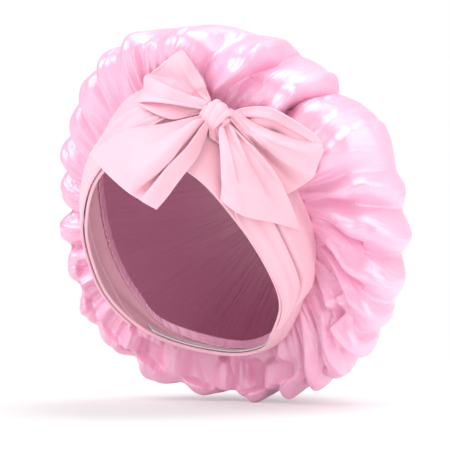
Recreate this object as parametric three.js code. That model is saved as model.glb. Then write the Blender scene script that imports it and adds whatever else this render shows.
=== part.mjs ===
// A tied satin hair bonnet: a gathered satin crown sewn to a wide jersey band, with straps that lie over
// the band and are tied in a bow at the front, to the wearer's left.
// Millimetres, +Z up, the wearer looks along -Y and the wearer's left is +X.
// The origin is the middle of the head that the bonnet is worn on.

import * as THREE from 'three';
import { mergeVertices } from 'three/addons/utils/BufferGeometryUtils.js';

// Driving dimensions

// The head inside the bonnet, as the half sizes of an ellipsoid. The rings of the band follow it.
const headHalfWidth = 74;
const headHalfDepth = 94;
const headHalfHeight = 105;

// The satin crown: half width, how far it stands in front of and behind the middle of the head, and
// how far it stands above and below it.
const crownHalfWidth = 127;
const crownForeReach = 24;
const crownBackReach = 166;
const crownTopReach = 132;
const crownBottomReach = 130;
const crownSideShift = 4;
const crownMiddleReach = 44;
const crownBackRise = 22;
const satinWall = 1.0;
const mainFoldDepth = 13;
const edgeGatherDepth = 3;

// The jersey band and what is sewn to it.
const bandWall = 2.4;
const bandBulge = 4;
const strapWall = 1.6;
const seamAllowanceWidth = 8;
const seamAllowanceWall = 1.6;
const elasticWidth = 9;
const elasticEdgeInset = 1.2;
const elasticWall = 1.2;

// The knot and the bow.
const knotRadius = 10.4;
const knotWrapLength = 15;
const knotWrapWall = 2.4;
const knotPleatDepth = 0.5;
const knotTuckLength = 13;
const bowWall = 1.6;
const leftLoopLength = 60;
const leftTailLength = 90;
const rightLoopLength = 75;
const rightTailLength = 80;
const lobeRootWidth = 8;
const loopRootDepth = 6;
const restSampleReach = 5;
const ribSampleReach = 9;

// Clearances: between laid pieces, between the satin's gathered edge and the band, between a bow lobe
// and what it hangs over, and between a lobe's root and the knot.
const layGap = 0.6;
const seamGap = 1.1;
const hangGap = 3.2;
const rootGap = 0.25;

// Counts and angles
const bandColumns = 64;
const bandRows = 6;
const columnsPerFold = 2;
const strapColumns = 24;
const strapRows = 3;
const elasticColumns = 14;
const lobeStations = 14;
const lobeRows = 10;
const knotPleats = 4;
const knotSteps = 24;
const knotRows = 16;
const bowTurn = THREE.MathUtils.degToRad(28);
const wrapTurn = THREE.MathUtils.degToRad(-45);
const leftLoopTurn = THREE.MathUtils.degToRad(142);
const leftTailTurn = THREE.MathUtils.degToRad(214);
const tuckTurn = THREE.MathUtils.degToRad(-95);
const rightTailTurn = THREE.MathUtils.degToRad(-48);
const rightLoopTurn = THREE.MathUtils.degToRad(8);

// Shares of the head's half sizes [width, depth, height] for one half of each ring of the band, from
// the middle of the forehead to the middle of the nape.
const faceEdgeShares = [
  [0, -0.95, 0.41], [0.51, -0.85, 0.24], [0.81, -0.64, -0.06], [0.93, -0.38, -0.34],
  [0.92, -0.13, -0.59], [0.7, 0.085, -0.8], [0.43, 0.34, -0.92], [0, 0.47, -0.97],
];
const seamEdgeShares = [
  [0, -0.6, 0.86], [0.55, -0.5, 0.71], [0.96, -0.23, 0.35], [1.11, 0, 0.04],
  [1.11, 0.16, -0.24], [0.95, 0.26, -0.51], [0.68, 0.38, -0.74], [0, 0.66, -0.89],
];

// Shares of the crown's reaches for the same half ring where the puffed satin is widest: of the half
// width, of the fore reach (negative) or back reach (positive), and of the top or bottom reach.
const widestRingShares = [
  [0, -1, 0.98], [0.38, -0.75, 0.91], [0.71, 0.01, 0.65], [0.92, 0.13, 0.28],
  [0.98, 0.2, -0.15], [0.88, 0.26, -0.58], [0.52, 0.42, -0.91], [0, 0.56, -1],
];

// The crests of the crown's main folds, from the middle of the forehead to the wearer's left. Each has
// its places round the crown at the rises listed next, as shares of the whole turn, its height as a share
// of the fold depth, where the valley after it lies between it and the next crest, how far it leans over
// that valley as a share of its height, how deep that valley is as a share of the fold depth, and how much
// of the fold is left where the crown is widest.
const crestShares = [
  [0.022, 0.024, 0.020, 0.012, 0.005, 0.30, 0.55, 0.00, 0.17, 0.20],
  [0.062, 0.076, 0.074, 0.058, 0.050, 0.48, 0.45, 0.10, 0.31, 0.30],
  [0.102, 0.110, 0.112, 0.103, 0.098, 0.48, 0.70, -0.10, 0.45, 0.70],
  [0.130, 0.140, 0.147, 0.142, 0.138, 0.70, 0.40, -0.70, 0.14, 0.90],
  [0.165, 0.174, 0.182, 0.184, 0.184, 0.25, 0.75, 0.20, 0.31, 0.50],
  [0.191, 0.216, 0.238, 0.250, 0.255, 0.43, 0.50, 0.30, 0.27, 0.50],
  [0.212, 0.248, 0.278, 0.293, 0.298, 0.57, 0.60, 0.50, 0.41, 0.60],
  [0.246, 0.290, 0.318, 0.334, 0.340, 0.57, 0.60, 0.50, 0.31, 0.30],
  [0.282, 0.330, 0.358, 0.372, 0.380, 0.34, 0.50, 0.20, 0.24, 0.35],
  [0.312, 0.360, 0.388, 0.402, 0.410, 0.61, 0.60, 0.40, 0.38, 0.45],
  [0.352, 0.396, 0.420, 0.434, 0.442, 0.39, 0.50, 0.20, 0.31, 0.30],
  [0.396, 0.424, 0.445, 0.458, 0.468, 0.52, 0.55, 0.10, 0.34, 0.35],
  [0.446, 0.456, 0.468, 0.482, 0.495, 0.39, 0.50, 0.00, 0.27, 0.30],
  [0.490, 0.494, 0.500, 0.508, 0.520, 0.48, 0.55, 0.00, 0.31, 0.25],
  [0.540, 0.538, 0.536, 0.540, 0.552, 0.34, 0.45, 0.00, 0.20, 0.25],
  [0.580, 0.576, 0.570, 0.575, 0.586, 0.43, 0.50, 0.00, 0.27, 0.20],
  [0.628, 0.620, 0.612, 0.616, 0.628, 0.30, 0.55, -0.10, 0.20, 0.25],
  [0.668, 0.658, 0.650, 0.652, 0.660, 0.39, 0.45, -0.10, 0.27, 0.15],
  [0.708, 0.698, 0.690, 0.692, 0.698, 0.30, 0.50, -0.20, 0.20, 0.25],
  [0.748, 0.740, 0.733, 0.735, 0.740, 0.43, 0.45, -0.20, 0.27, 0.25],
  [0.786, 0.779, 0.773, 0.776, 0.782, 0.30, 0.55, -0.10, 0.17, 0.20],
  [0.826, 0.820, 0.815, 0.819, 0.826, 0.43, 0.50, -0.20, 0.31, 0.35],
  [0.862, 0.858, 0.854, 0.857, 0.863, 0.25, 0.50, 0.00, 0.17, 0.20],
  [0.896, 0.894, 0.892, 0.894, 0.898, 0.39, 0.55, 0.00, 0.20, 0.20],
  [0.930, 0.928, 0.925, 0.925, 0.928, 0.30, 0.50, 0.00, 0.34, 0.50],
  [0.966, 0.964, 0.960, 0.956, 0.954, 0.43, 0.50, 0.10, 0.17, 0.20],
];
const crestRiseShares = [0, 0.12, 0.3, 0.5, 0.8];
// How the depth of the puffs by the seam, and of what is left of them further on, grows and dies between
// the seam and the middle of the crown's back: each pair is a rise and a share of the fold depth.
const puffDepthShares = [[0, 0.1], [0.04, 0.6], [0.1, 1], [0.2, 0.75], [0.32, 0.25], [0.5, 0]];
const longDepthShares = [[0.06, 0], [0.2, 0.5], [0.32, 0.95], [0.5, 0.8], [0.7, 0.45], [0.9, 0.1], [1, 0]];
// How round a crest is: the rest of its section is an arch that ends in a sharp valley.
const roundCrestShare = 0.35;
// The step round the crown that gives the direction along it.
const sideStepShare = 0.003;
// The widest and narrowest folds that change the depth, as shares of the mean fold.
const foldWidthShares = { least: 0.5, most: 1.25 };
// Where the rows of the crown lie between the seam and the middle of its back, closest in the curl.
const crownRowShares = [0, 0.045, 0.1, 0.16, 0.22, 0.29, 0.36, 0.45, 0.56, 0.68, 0.8, 0.91, 1];

// How far the elastic runs round to each side of the nape, as a share of the whole turn.
const elasticHalfTurnShare = 0.13;

// The straps, from the end that is sewn on to the knot: the share of the way round, the shares of the
// band's width at its two edges, and the height over the band as a share of the knot's radius.
const leftStrapShares = [
  [0.335, 0, 0.05, 0], [0.2875, 0, 0.36, 0], [0.24, 0, 0.37, 0], [0.18, 0, 0.375, 0],
  [0.135, 0.02, 0.42, 0], [0.105, 0.3, 0.65, 0], [0.086, 0.64, 0.84, 0.1],
];
const rightStrapShares = [
  [-0.335, 0, 0.05, 0], [-0.2875, 0, 0.36, 0], [-0.22, 0, 0.37, 0], [-0.14, 0, 0.375, 0],
  [-0.06, 0.02, 0.42, 0], [0.005, 0.25, 0.6, 0], [0.034, 0.62, 0.82, 0.1],
];

// Where the knot sits on the band.
const knotTurnShare = 0.068;
const knotRiseShare = 0.69;
const knotSquashShare = 0.75;
const wrapTaperShare = 0.16;
// The knot core's radius along its length, as shares of the knot's radius, from the middle to an end.
const coreShares = [[0, 0.54], [0.45, 0.54], [0.85, 0.5], [1, 0.38], [1, 0]];

// The bow's lobes as ribs across the strap, from the knot outwards. Each point is [across, up, lift] in
// shares of the lobe's length: across and up from the middle of the knot, seen from the bow's front, and
// lift over what the lobe hangs on. A loop goes out along its back and comes back along its front.
const leftTailShares = [
  [[-0.37, -0.06, 0.03], [-0.32, -0.13, 0.08], [-0.26, -0.21, 0.11], [-0.23, -0.27, 0.03], [-0.13, -0.29, 0.07]],
  [[-0.66, -0.1, 0.03], [-0.57, -0.26, 0.09], [-0.47, -0.42, 0.13], [-0.4, -0.45, 0.04], [-0.26, -0.46, 0.09]],
  [[-0.97, -0.28, 0.24], [-0.83, -0.43, 0.13], [-0.67, -0.57, 0.13], [-0.56, -0.64, 0.06], [-0.44, -0.71, 0.08]],
];
const leftLoopShares = [
  [[-0.14, 0.42, 0.03], [-0.3, 0.32, 0.03], [-0.43, 0.14, 0.03], [-0.51, -0.04, 0.03]],
  [[-0.38, 0.75, 0.08], [-0.58, 0.62, 0.1], [-0.79, 0.45, 0.12], [-0.88, 0.15, 0.08]],
  [[-0.19, 0.44, 0.13], [-0.37, 0.35, 0.22], [-0.5, 0.26, 0.25], [-0.52, 0.14, 0.18]],
];
const rightLoopShares = [
  [[0.49, 0.07, 0.03], [0.52, -0.07, 0.03], [0.5, -0.22, 0.03], [0.45, -0.38, 0.03]],
  [[0.97, -0.24, 0.07], [0.95, -0.36, 0.08], [0.86, -0.56, 0.08], [0.65, -0.7, 0.07]],
  [[0.49, -0.14, 0.16], [0.5, -0.23, 0.23], [0.48, -0.32, 0.19], [0.44, -0.4, 0.11]],
];
const rightTailShares = [
  [[0.06, -0.33, 0.12], [0.13, -0.32, 0.21], [0.23, -0.38, 0.1], [0.38, -0.33, 0.15]],
  [[0.05, -0.54, 0.1], [0.19, -0.6, 0.19], [0.37, -0.6, 0.11], [0.57, -0.59, 0.15]],
  [[0.04, -0.72, 0.09], [0.23, -0.85, 0.12], [0.46, -0.9, 0.1], [0.73, -0.97, 0.07]],
];
const tuckShares = [
  [[-0.27, -1.15, 0.23], [0, -1.21, 0.35], [0.33, -1.15, 0.23]],
  [[-0.05, -1.48, 0.17], [0.11, -1.57, 0.2], [0.33, -1.48, 0.17]],
];

const mm = (x, y, z) => new THREE.Vector3(x, y, z);

const materials = {
  satin: new THREE.MeshStandardMaterial({ color: 0xf9bcdc, roughness: 0.32, metalness: 0 }),
  jersey: new THREE.MeshStandardMaterial({ color: 0xfbcfdd, roughness: 0.85, metalness: 0 }),
  elastic: new THREE.MeshStandardMaterial({ color: 0xf6e6ea, roughness: 0.9, metalness: 0 }),
};

// Shapes shared by the pieces

// A smooth value through a list of shares at even steps, for a place from 0 to 1.
function valueAlong(shares, place) {
  const last = shares.length - 1;
  const x = THREE.MathUtils.clamp(place, 0, 1) * last;
  const i = Math.min(Math.floor(x), last - 1);
  const before = shares[Math.max(i - 1, 0)];
  const after = shares[Math.min(i + 2, last)];
  return catmullRom(before, shares[i], shares[i + 1], after, x - i);
}

// A value on straight lines through pairs of a place and a value.
function valueBetween(pairs, place) {
  const after = pairs.findIndex(([at]) => at > place);
  if (after === 0) return pairs[0][1];
  if (after < 0) return pairs[pairs.length - 1][1];
  const [from, to] = [pairs[after - 1], pairs[after]];
  return from[1] + ((to[1] - from[1]) * (place - from[0])) / (to[0] - from[0]);
}

function catmullRom(a, b, c, d, f) {
  const slopeIn = (c - a) / 2;
  const slopeOut = (d - b) / 2;
  const f2 = f * f;
  const f3 = f2 * f;
  return b + slopeIn * f + (3 * (c - b) - 2 * slopeIn - slopeOut) * f2 + (2 * (b - c) + slopeIn + slopeOut) * f3;
}

// A closed ring from the points of one half: the other half is its mirror image across X = 0.
function mirroredRing(half) {
  const otherSide = half.slice(1, -1).reverse().map((p) => mm(-p.x, p.y, p.z));
  return new THREE.CatmullRomCurve3([...half, ...otherSide], true, 'catmullrom', 0.5);
}

function cubicBetween(a, aOut, bIn, b, f) {
  return new THREE.CubicBezierCurve3(a, aOut, bIn, b).getPoint(f);
}

// The direction square to a surface given as a function of two shares.
function surfaceNormal(surface, u, v) {
  const step = 0.004;
  const u0 = u - step;
  const u1 = u + step;
  const v0 = Math.max(v - step, 0);
  const v1 = Math.min(v + step, 1);
  const alongU = surface(u1, v).sub(surface(u0, v));
  const alongV = surface(u, v1).sub(surface(u, v0));
  return alongU.cross(alongV).normalize();
}

// A closed solid of cloth: the surface is given its wall by an offset on both sides. It may close on
// itself along u, and may end in one point, a pole, at v = 1.
function clothSolid({ surface, columns, rows, wall, round = false, pole = false }) {
  const stations = round ? columns.slice(0, -1) : columns;
  const lastRow = rows.length - 1;
  const positions = [];
  const sides = [1, -1].map((side) => {
    let poleIndex = -1;
    return stations.map((u) => rows.map((v, row) => {
      if (pole && row === lastRow && poleIndex >= 0) return poleIndex;
      const normal = pole && row === lastRow ? poleNormal(surface, stations) : surfaceNormal(surface, u, v);
      const point = surface(u, v).addScaledVector(normal, (side * wall) / 2);
      positions.push(point.x, point.y, point.z);
      const index = positions.length / 3 - 1;
      if (pole && row === lastRow) poleIndex = index;
      return index;
    }));
  });
  const faces = [];
  const quad = (a, b, c, d) => {
    if (a !== b && b !== c && a !== c) faces.push(a, b, c);
    if (a !== c && c !== d && a !== d) faces.push(a, c, d);
  };
  const count = stations.length;
  const spans = round ? count : count - 1;
  const [outer, inner] = sides;
  for (let i = 0; i < spans; i += 1) {
    const next = (i + 1) % count;
    for (let j = 0; j < lastRow; j += 1) {
      quad(outer[i][j], outer[next][j], outer[next][j + 1], outer[i][j + 1]);
      quad(inner[i][j + 1], inner[next][j + 1], inner[next][j], inner[i][j]);
    }
    quad(inner[i][0], inner[next][0], outer[next][0], outer[i][0]);
    if (!pole) quad(outer[i][lastRow], outer[next][lastRow], inner[next][lastRow], inner[i][lastRow]);
  }
  if (!round) {
    const end = count - 1;
    for (let j = 0; j < lastRow; j += 1) {
      quad(outer[0][j], outer[0][j + 1], inner[0][j + 1], inner[0][j]);
      quad(inner[end][j], inner[end][j + 1], outer[end][j + 1], outer[end][j]);
    }
  }
  return solidGeometry(positions, faces);
}

function poleNormal(surface, stations) {
  const sum = mm(0, 0, 0);
  stations.forEach((u) => sum.add(surfaceNormal(surface, u, 0.98)));
  return sum.normalize();
}

function solidGeometry(positions, faces) {
  const geometry = new THREE.BufferGeometry();
  geometry.setAttribute('position', new THREE.Float32BufferAttribute(positions, 3));
  geometry.setIndex(signedVolume(positions, faces) < 0 ? turnedOver(faces) : faces);
  geometry.computeVertexNormals();
  return geometry;
}

function signedVolume(positions, faces) {
  const corner = (k) => mm(positions[3 * k], positions[3 * k + 1], positions[3 * k + 2]);
  let sum = 0;
  for (let f = 0; f < faces.length; f += 3) {
    sum += corner(faces[f]).dot(corner(faces[f + 1]).cross(corner(faces[f + 2])));
  }
  return sum / 6;
}

function turnedOver(faces) {
  const turned = [];
  for (let f = 0; f < faces.length; f += 3) turned.push(faces[f], faces[f + 2], faces[f + 1]);
  return turned;
}

function evenSteps(from, to, count) {
  return Array.from({ length: count + 1 }, (_, k) => from + ((to - from) * k) / count);
}

// The band

const headSize = mm(headHalfWidth, headHalfDepth, headHalfHeight);
const onHead = ([x, y, z]) => mm(x, y, z).multiply(headSize);
const faceEdge = mirroredRing(faceEdgeShares.map(onHead));
const seamEdge = mirroredRing(seamEdgeShares.map(onHead));

// A point of the band: turn is the share of the way round from the middle of the forehead to the
// wearer's left, rise the share from the face edge to the seam, and lift the height over its middle.
function bandPoint(turn, rise, lift = 0) {
  const point = bandMiddle(turn, rise);
  return lift === 0 ? point : point.addScaledVector(bandNormal(turn, rise), lift);
}

function bandMiddle(turn, rise) {
  const place = ((turn % 1) + 1) % 1;
  const point = faceEdge.getPoint(place).lerp(seamEdge.getPoint(place), rise);
  return point.addScaledVector(headNormal(point), bandBulge * Math.sin(Math.PI * rise));
}

function bandNormal(turn, rise) {
  const normal = surfaceNormal(bandMiddle, turn, rise);
  return normal.dot(headNormal(bandMiddle(turn, rise))) < 0 ? normal.negate() : normal;
}

function headNormal(point) {
  return point.clone().divide(headSize).divide(headSize).normalize();
}

function bandGeometry() {
  return clothSolid({
    surface: (u, v) => bandPoint(u, v),
    columns: evenSteps(0, 1, bandColumns),
    rows: evenSteps(0, 1, bandRows),
    wall: bandWall,
    round: true,
  });
}

// The crown

// The widest ring of the satin, and the middle of the crown's back, towards which it closes.
const widestRing = mirroredRing(widestRingShares.map(([x, y, z]) => mm(
  x * crownHalfWidth,
  y < 0 ? y * crownForeReach : y * crownBackReach,
  z < 0 ? z * crownBottomReach : z * crownTopReach,
)));
const crownBack = mm(crownSideShift, crownBackReach, crownBackRise);
const crownMiddle = mm(crownSideShift, crownMiddleReach, 0);

// The satin's own seam line lies just outside the band's seam edge.
const seamStandoff = (bandWall + satinWall + edgeGatherDepth) / 2 + seamGap;

// Shares of the way from the seam to the widest ring, and on to the back, at which the two arcs of
// the crown's side view are steered.
const widestPlaceShare = 0.3;
const curlOutShare = 0.3;
const curlInShare = 0.34;
const backFullShare = 0.6;

function smoothCrownPoint(turn, rise) {
  const place = ((turn % 1) + 1) % 1;
  const seam = bandPoint(place, 1, seamStandoff);
  const wide = widestRing.getPoint(place).add(mm(crownSideShift, 0, 0));
  const outward = wide.clone().sub(crownMiddle);
  const backward = crownBack.clone().sub(crownMiddle);
  if (rise < widestPlaceShare) {
    const seamOut = seam.clone().addScaledVector(outward, curlOutShare);
    const wideIn = wide.clone().addScaledVector(backward, -curlInShare);
    return cubicBetween(seam, seamOut, wideIn, wide, rise / widestPlaceShare);
  }
  const wideOut = wide.clone().addScaledVector(backward, backFullShare);
  const backIn = crownBack.clone().addScaledVector(outward, backFullShare);
  const f = (rise - widestPlaceShare) / (1 - widestPlaceShare);
  return cubicBetween(wide, wideOut, backIn, crownBack, f);
}

// The main folds. A place in them counts their crests: k on crest k, and k and a half in the valley
// between it and the next. The columns of the crown follow the crests and the valleys.
const foldCount = crestShares.length;
const crownColumns = evenSteps(0, 1, foldCount * columnsPerFold);

function crestOf(k) {
  return crestShares[((k % foldCount) + foldCount) % foldCount];
}

function crestTurn(k, rise) {
  const row = crestOf(k);
  return Math.floor(k / foldCount) + valueBetween(crestRiseShares.map((share, i) => [share, row[i]]), rise);
}

function crownPoint(place, rise) {
  const k = Math.floor(place * foldCount);
  const across = place * foldCount - k;
  const [, , , , , height, valleyPlace, lean, valleyDepth, kept] = crestOf(k);
  const [, , , , , nextHeight, , nextLean, , nextKept] = crestOf(k + 1);
  const here = crestTurn(k, rise);
  const width = crestTurn(k + 1, rise) - here;
  const rising = across > 0.5;
  const way = rising ? valleyPlace + (2 * across - 1) * (1 - valleyPlace) : 2 * across * valleyPlace;
  const arch = Math.abs(Math.cos(Math.PI * across));
  const swell = THREE.MathUtils.lerp(arch, arch * arch, roundCrestShare);
  const left = THREE.MathUtils.lerp(kept, nextKept, across);
  const size = THREE.MathUtils.clamp(width * foldCount, foldWidthShares.least, foldWidthShares.most);
  const share = valueBetween(puffDepthShares, rise) + valueBetween(longDepthShares, rise) * left;
  const depth = mainFoldDepth * size * share;
  const crest = depth * swell * (rising ? nextHeight : height);
  const turn = here + width * way;
  const point = smoothCrownPoint(turn, rise);
  const normal = surfaceNormal(smoothCrownPoint, turn, Math.min(rise, 0.98));
  const before = smoothCrownPoint(turn - sideStepShare, rise);
  const aside = smoothCrownPoint(turn + sideStepShare, rise).sub(before).normalize();
  point.addScaledVector(normal, crest - depth * valleyDepth * (1 - swell));
  return point.addScaledVector(aside, crest * (rising ? nextLean : lean));
}

function crownGeometry() {
  return clothSolid({
    surface: crownPoint,
    columns: crownColumns,
    rows: crownRowShares,
    wall: satinWall,
    round: true,
    pole: true,
  });
}

// What is sewn inside: the gathered seam allowance, and the elastic at the nape

function bandWidthAt(turn) {
  const place = ((turn % 1) + 1) % 1;
  return faceEdge.getPoint(place).distanceTo(seamEdge.getPoint(place));
}

function seamAllowanceGeometry() {
  const depth = -(bandWall + seamAllowanceWall) / 2 - layGap;
  return clothSolid({
    surface: (u, v) => bandPoint(u, 1 - (v * seamAllowanceWidth) / bandWidthAt(u), depth),
    columns: evenSteps(0, 1, bandColumns),
    rows: [0, 1],
    wall: seamAllowanceWall,
    round: true,
  });
}

function napeElasticGeometry() {
  const depth = -(bandWall + elasticWall) / 2 - layGap;
  const rise = (u, v) => (elasticEdgeInset + v * elasticWidth) / bandWidthAt(u);
  return clothSolid({
    surface: (u, v) => bandPoint(u, rise(u, v), depth),
    columns: evenSteps(1 / 2 - elasticHalfTurnShare, 1 / 2 + elasticHalfTurnShare, elasticColumns),
    rows: [0, 1],
    wall: elasticWall,
  });
}

// The straps, laid over the band from behind the ear to the knot

function strapGeometry(shares) {
  const along = (u, k) => valueAlong(shares.map((share) => share[k]), u);
  const surface = (u, v) => {
    const rise = THREE.MathUtils.lerp(along(u, 1), along(u, 2), v);
    const lift = (bandWall + strapWall) / 2 + layGap + along(u, 3) * knotRadius;
    return bandPoint(along(u, 0), rise, lift);
  };
  return clothSolid({
    surface,
    columns: evenSteps(0, 1, strapColumns),
    rows: evenSteps(0, 1, strapRows),
    wall: strapWall,
  });
}

// The knot: a core of crossed straps and one turn of strap round it. It is squashed onto the band.

const knotFoot = bandPoint(knotTurnShare, knotRiseShare);
const knotOut = bandNormal(knotTurnShare, knotRiseShare);
const knotCentre = knotFoot.clone()
  .addScaledVector(knotOut, bandWall / 2 + layGap + knotRadius * knotSquashShare);

// The bow's own frame: across to the wearer's left, up, and out to its front.
const bowAcross = mm(Math.cos(bowTurn), Math.sin(bowTurn), 0);
const bowUp = mm(0, 0, 1);
const bowOut = mm(Math.sin(bowTurn), -Math.cos(bowTurn), 0);
const knotAcross = bowAcross.clone().addScaledVector(knotOut, -bowAcross.dot(knotOut)).normalize();
const knotUp = knotOut.clone().cross(knotAcross);

function bowPoint(across, up, out) {
  return knotCentre.clone()
    .addScaledVector(bowAcross, across)
    .addScaledVector(bowUp, up)
    .addScaledVector(bowOut, out);
}

function knotPoint(across, up, out) {
  return knotCentre.clone()
    .addScaledVector(knotAcross, across)
    .addScaledVector(knotUp, up)
    .addScaledVector(knotOut, out);
}

// A point of the turn: round is the angle about its own axis from the front, along the place on that
// axis, and radius the distance from it.
function wrapPoint(round, along, radius) {
  const aside = Math.sin(round) * radius;
  const out = Math.cos(round) * radius;
  return knotPoint(
    along * Math.cos(wrapTurn) - aside * Math.sin(wrapTurn),
    along * Math.sin(wrapTurn) + aside * Math.cos(wrapTurn),
    out < 0 ? out * knotSquashShare : out,
  );
}

// The turn's radius to the middle of its wall, for a share from one mouth to the other.
function wrapRadius(share) {
  const along = 2 * share - 1;
  const pleat = (knotPleatDepth / 2) * Math.cos(2 * Math.PI * knotPleats * share);
  return (knotRadius - (knotWrapWall + knotPleatDepth) / 2) * (1 - wrapTaperShare * along * along) + pleat;
}

function knotWrapGeometry() {
  const surface = (u, v) => wrapPoint(2 * Math.PI * u, (v - 1 / 2) * knotWrapLength, wrapRadius(v));
  return clothSolid({
    surface,
    columns: evenSteps(0, 1, knotSteps),
    rows: evenSteps(0, 1, knotRows),
    wall: knotWrapWall,
    round: true,
  });
}

function knotCoreGeometry() {
  const outline = [...coreShares.slice(1).reverse().map(([x, r]) => [-x, r]), ...coreShares]
    .map(([x, r]) => new THREE.Vector2(r * knotRadius, x * knotRadius));
  const core = mergeVertices(new THREE.LatheGeometry(outline, knotSteps / 2).deleteAttribute('uv').deleteAttribute('normal'));
  const position = core.attributes.position;
  const positions = [];
  for (let k = 0; k < position.count; k += 1) {
    const round = Math.atan2(position.getX(k), position.getZ(k));
    const radius = Math.hypot(position.getX(k), position.getZ(k));
    positions.push(...wrapPoint(round, position.getY(k), radius).toArray());
  }
  const faces = Array.from(core.index.array);
  return solidGeometry(positions, faces);
}

// The bow's lobes

// How far out in front of the knot's middle the surface of the head lies, or, past its outline, the
// place where the line of sight comes nearest to it.
function headReach(point) {
  const from = point.clone().divide(headSize);
  const along = bowOut.clone().divide(headSize);
  const half = from.dot(along);
  const square = along.lengthSq();
  const root = Math.max(half * half - square * (from.lengthSq() - 1), 0);
  return (-half + Math.sqrt(root)) / square;
}

// How far out the front of what a lobe hangs over lies, at a place across and up from the knot.
function restReach(place, under) {
  const start = 2 * crownHalfWidth;
  const from = bowPoint(place.x, place.y, start);
  const ray = new THREE.Raycaster(from, bowOut.clone().negate());
  const [hit] = ray.intersectObjects(under, false);
  const onHead = headReach(bowPoint(place.x, place.y, 0));
  return hit ? Math.max(start - hit.distance, onHead) : onHead;
}

// The knot's outline seen from its front, as places along the turn's axis and aside from it.
const wrapOutline = evenSteps(0, 1, knotRows).map((share) => [
  (share - 1 / 2) * knotWrapLength,
  wrapRadius(share) + knotWrapWall / 2,
]);
const coreOutline = coreShares.map(([along, radius]) => [along * knotRadius, radius * knotRadius]);
const knotOutline = [...wrapOutline, ...coreOutline].flatMap(([along, aside]) => [
  [along, aside], [along, -aside], [-along, aside], [-along, -aside],
]);

// How far the knot reaches towards a lobe's root.
function knotReach(turn) {
  const slant = turn - wrapTurn;
  const facing = knotOutline.filter(([along, aside]) => {
    const beside = aside * Math.cos(slant) - along * Math.sin(slant);
    return Math.abs(beside) < lobeRootWidth / 2 + rootGap;
  });
  return Math.max(...facing.map(([along, aside]) => along * Math.cos(slant) + aside * Math.sin(slant)));
}

// The first rib of a lobe, close to the knot: its place in the bow's frame at even steps.
function rootRib({ turn, points, depth = 0, clockwise = false }) {
  const reach = knotReach(turn) + bowWall / 2 + rootGap;
  const sense = clockwise ? -1 : 1;
  return evenSteps(-1 / 2, 1 / 2, points - 1).map((share) => {
    const aside = sense * share * lobeRootWidth;
    const point = knotPoint(
      Math.cos(turn) * reach - Math.sin(turn) * aside,
      Math.sin(turn) * reach + Math.cos(turn) * aside,
      depth,
    ).sub(knotCentre);
    return mm(point.dot(bowAcross), point.dot(bowUp), point.dot(bowOut));
  });
}

// The furthest rest reach at a place and a step to each side of it.
function widestReach(place, under, step) {
  const corners = [[0, 0], [1, 0], [-1, 0], [0, 1], [0, -1]];
  return Math.max(...corners.map(([i, j]) => restReach(mm(place.x + i * step, place.y + j * step, 0), under)));
}

function ribFromShares(shares, length, under) {
  return shares.map(([across, up, lift]) => {
    const place = mm(across * length, up * length, 0);
    place.z = widestReach(place, under, ribSampleReach) + lift * length + bowWall / 2;
    return place;
  });
}

// A smooth sheet through ribs of equally many points.
function ribSheet(ribs) {
  const pick = (axis) => (u, v) => valueAlong(ribs.map((rib) => valueAlong(rib.map((p) => p[axis]), v)), u);
  const [x, y, z] = ['x', 'y', 'z'].map(pick);
  return (u, v) => mm(x(u, v), y(u, v), z(u, v));
}

// A lobe as a solid. Past its root it is kept clear of what it hangs over.
function lobeGeometry({ ribs, stations, under }) {
  const sheet = ribSheet(ribs);
  const clearOf = (place) => widestReach(place, under, restSampleReach) + hangGap + bowWall / 2;
  const surface = (u, v) => {
    const place = sheet(THREE.MathUtils.clamp(u, 0, 1), v);
    const nearKnot = Math.hypot(place.x, place.y) < knotRadius + lobeRootWidth;
    const out = nearKnot ? place.z : Math.max(place.z, clearOf(place));
    return bowPoint(place.x, place.y, out);
  };
  return clothSolid({
    surface,
    columns: evenSteps(0, 1, stations),
    rows: evenSteps(0, 1, lobeRows),
    wall: bowWall,
  });
}

function tailGeometry({ shares, length, turn, under, stations = lobeStations }) {
  const root = rootRib({ turn, points: shares[0].length });
  const ribs = [root, ...shares.map((rib) => ribFromShares(rib, length, under))];
  return lobeGeometry({ ribs, stations, under });
}

function loopGeometry({ shares, length, turn, under, clockwise }) {
  const points = shares[0].length;
  const back = rootRib({ turn, points, depth: -loopRootDepth / 2, clockwise });
  const front = rootRib({ turn, points, depth: loopRootDepth / 2, clockwise });
  const ribs = [back, ...shares.map((rib) => ribFromShares(rib, length, under)), front];
  return lobeGeometry({ ribs, stations: 2 * lobeStations, under });
}

// Assembly

const bonnet = new THREE.Group();

function addPiece(name, geometry, material) {
  const mesh = new THREE.Mesh(geometry, material);
  mesh.name = name;
  bonnet.add(mesh);
  return mesh;
}

const band = addPiece('band', bandGeometry(), materials.jersey);
const crown = addPiece('crown', crownGeometry(), materials.satin);
addPiece('seam_allowance', seamAllowanceGeometry(), materials.satin);
addPiece('nape_elastic', napeElasticGeometry(), materials.elastic);
const leftStrap = addPiece('strap_left', strapGeometry(leftStrapShares), materials.jersey);
const rightStrap = addPiece('strap_right', strapGeometry(rightStrapShares), materials.jersey);
addPiece('knot_wrap', knotWrapGeometry(), materials.jersey);
addPiece('knot_core', knotCoreGeometry(), materials.jersey);

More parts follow.
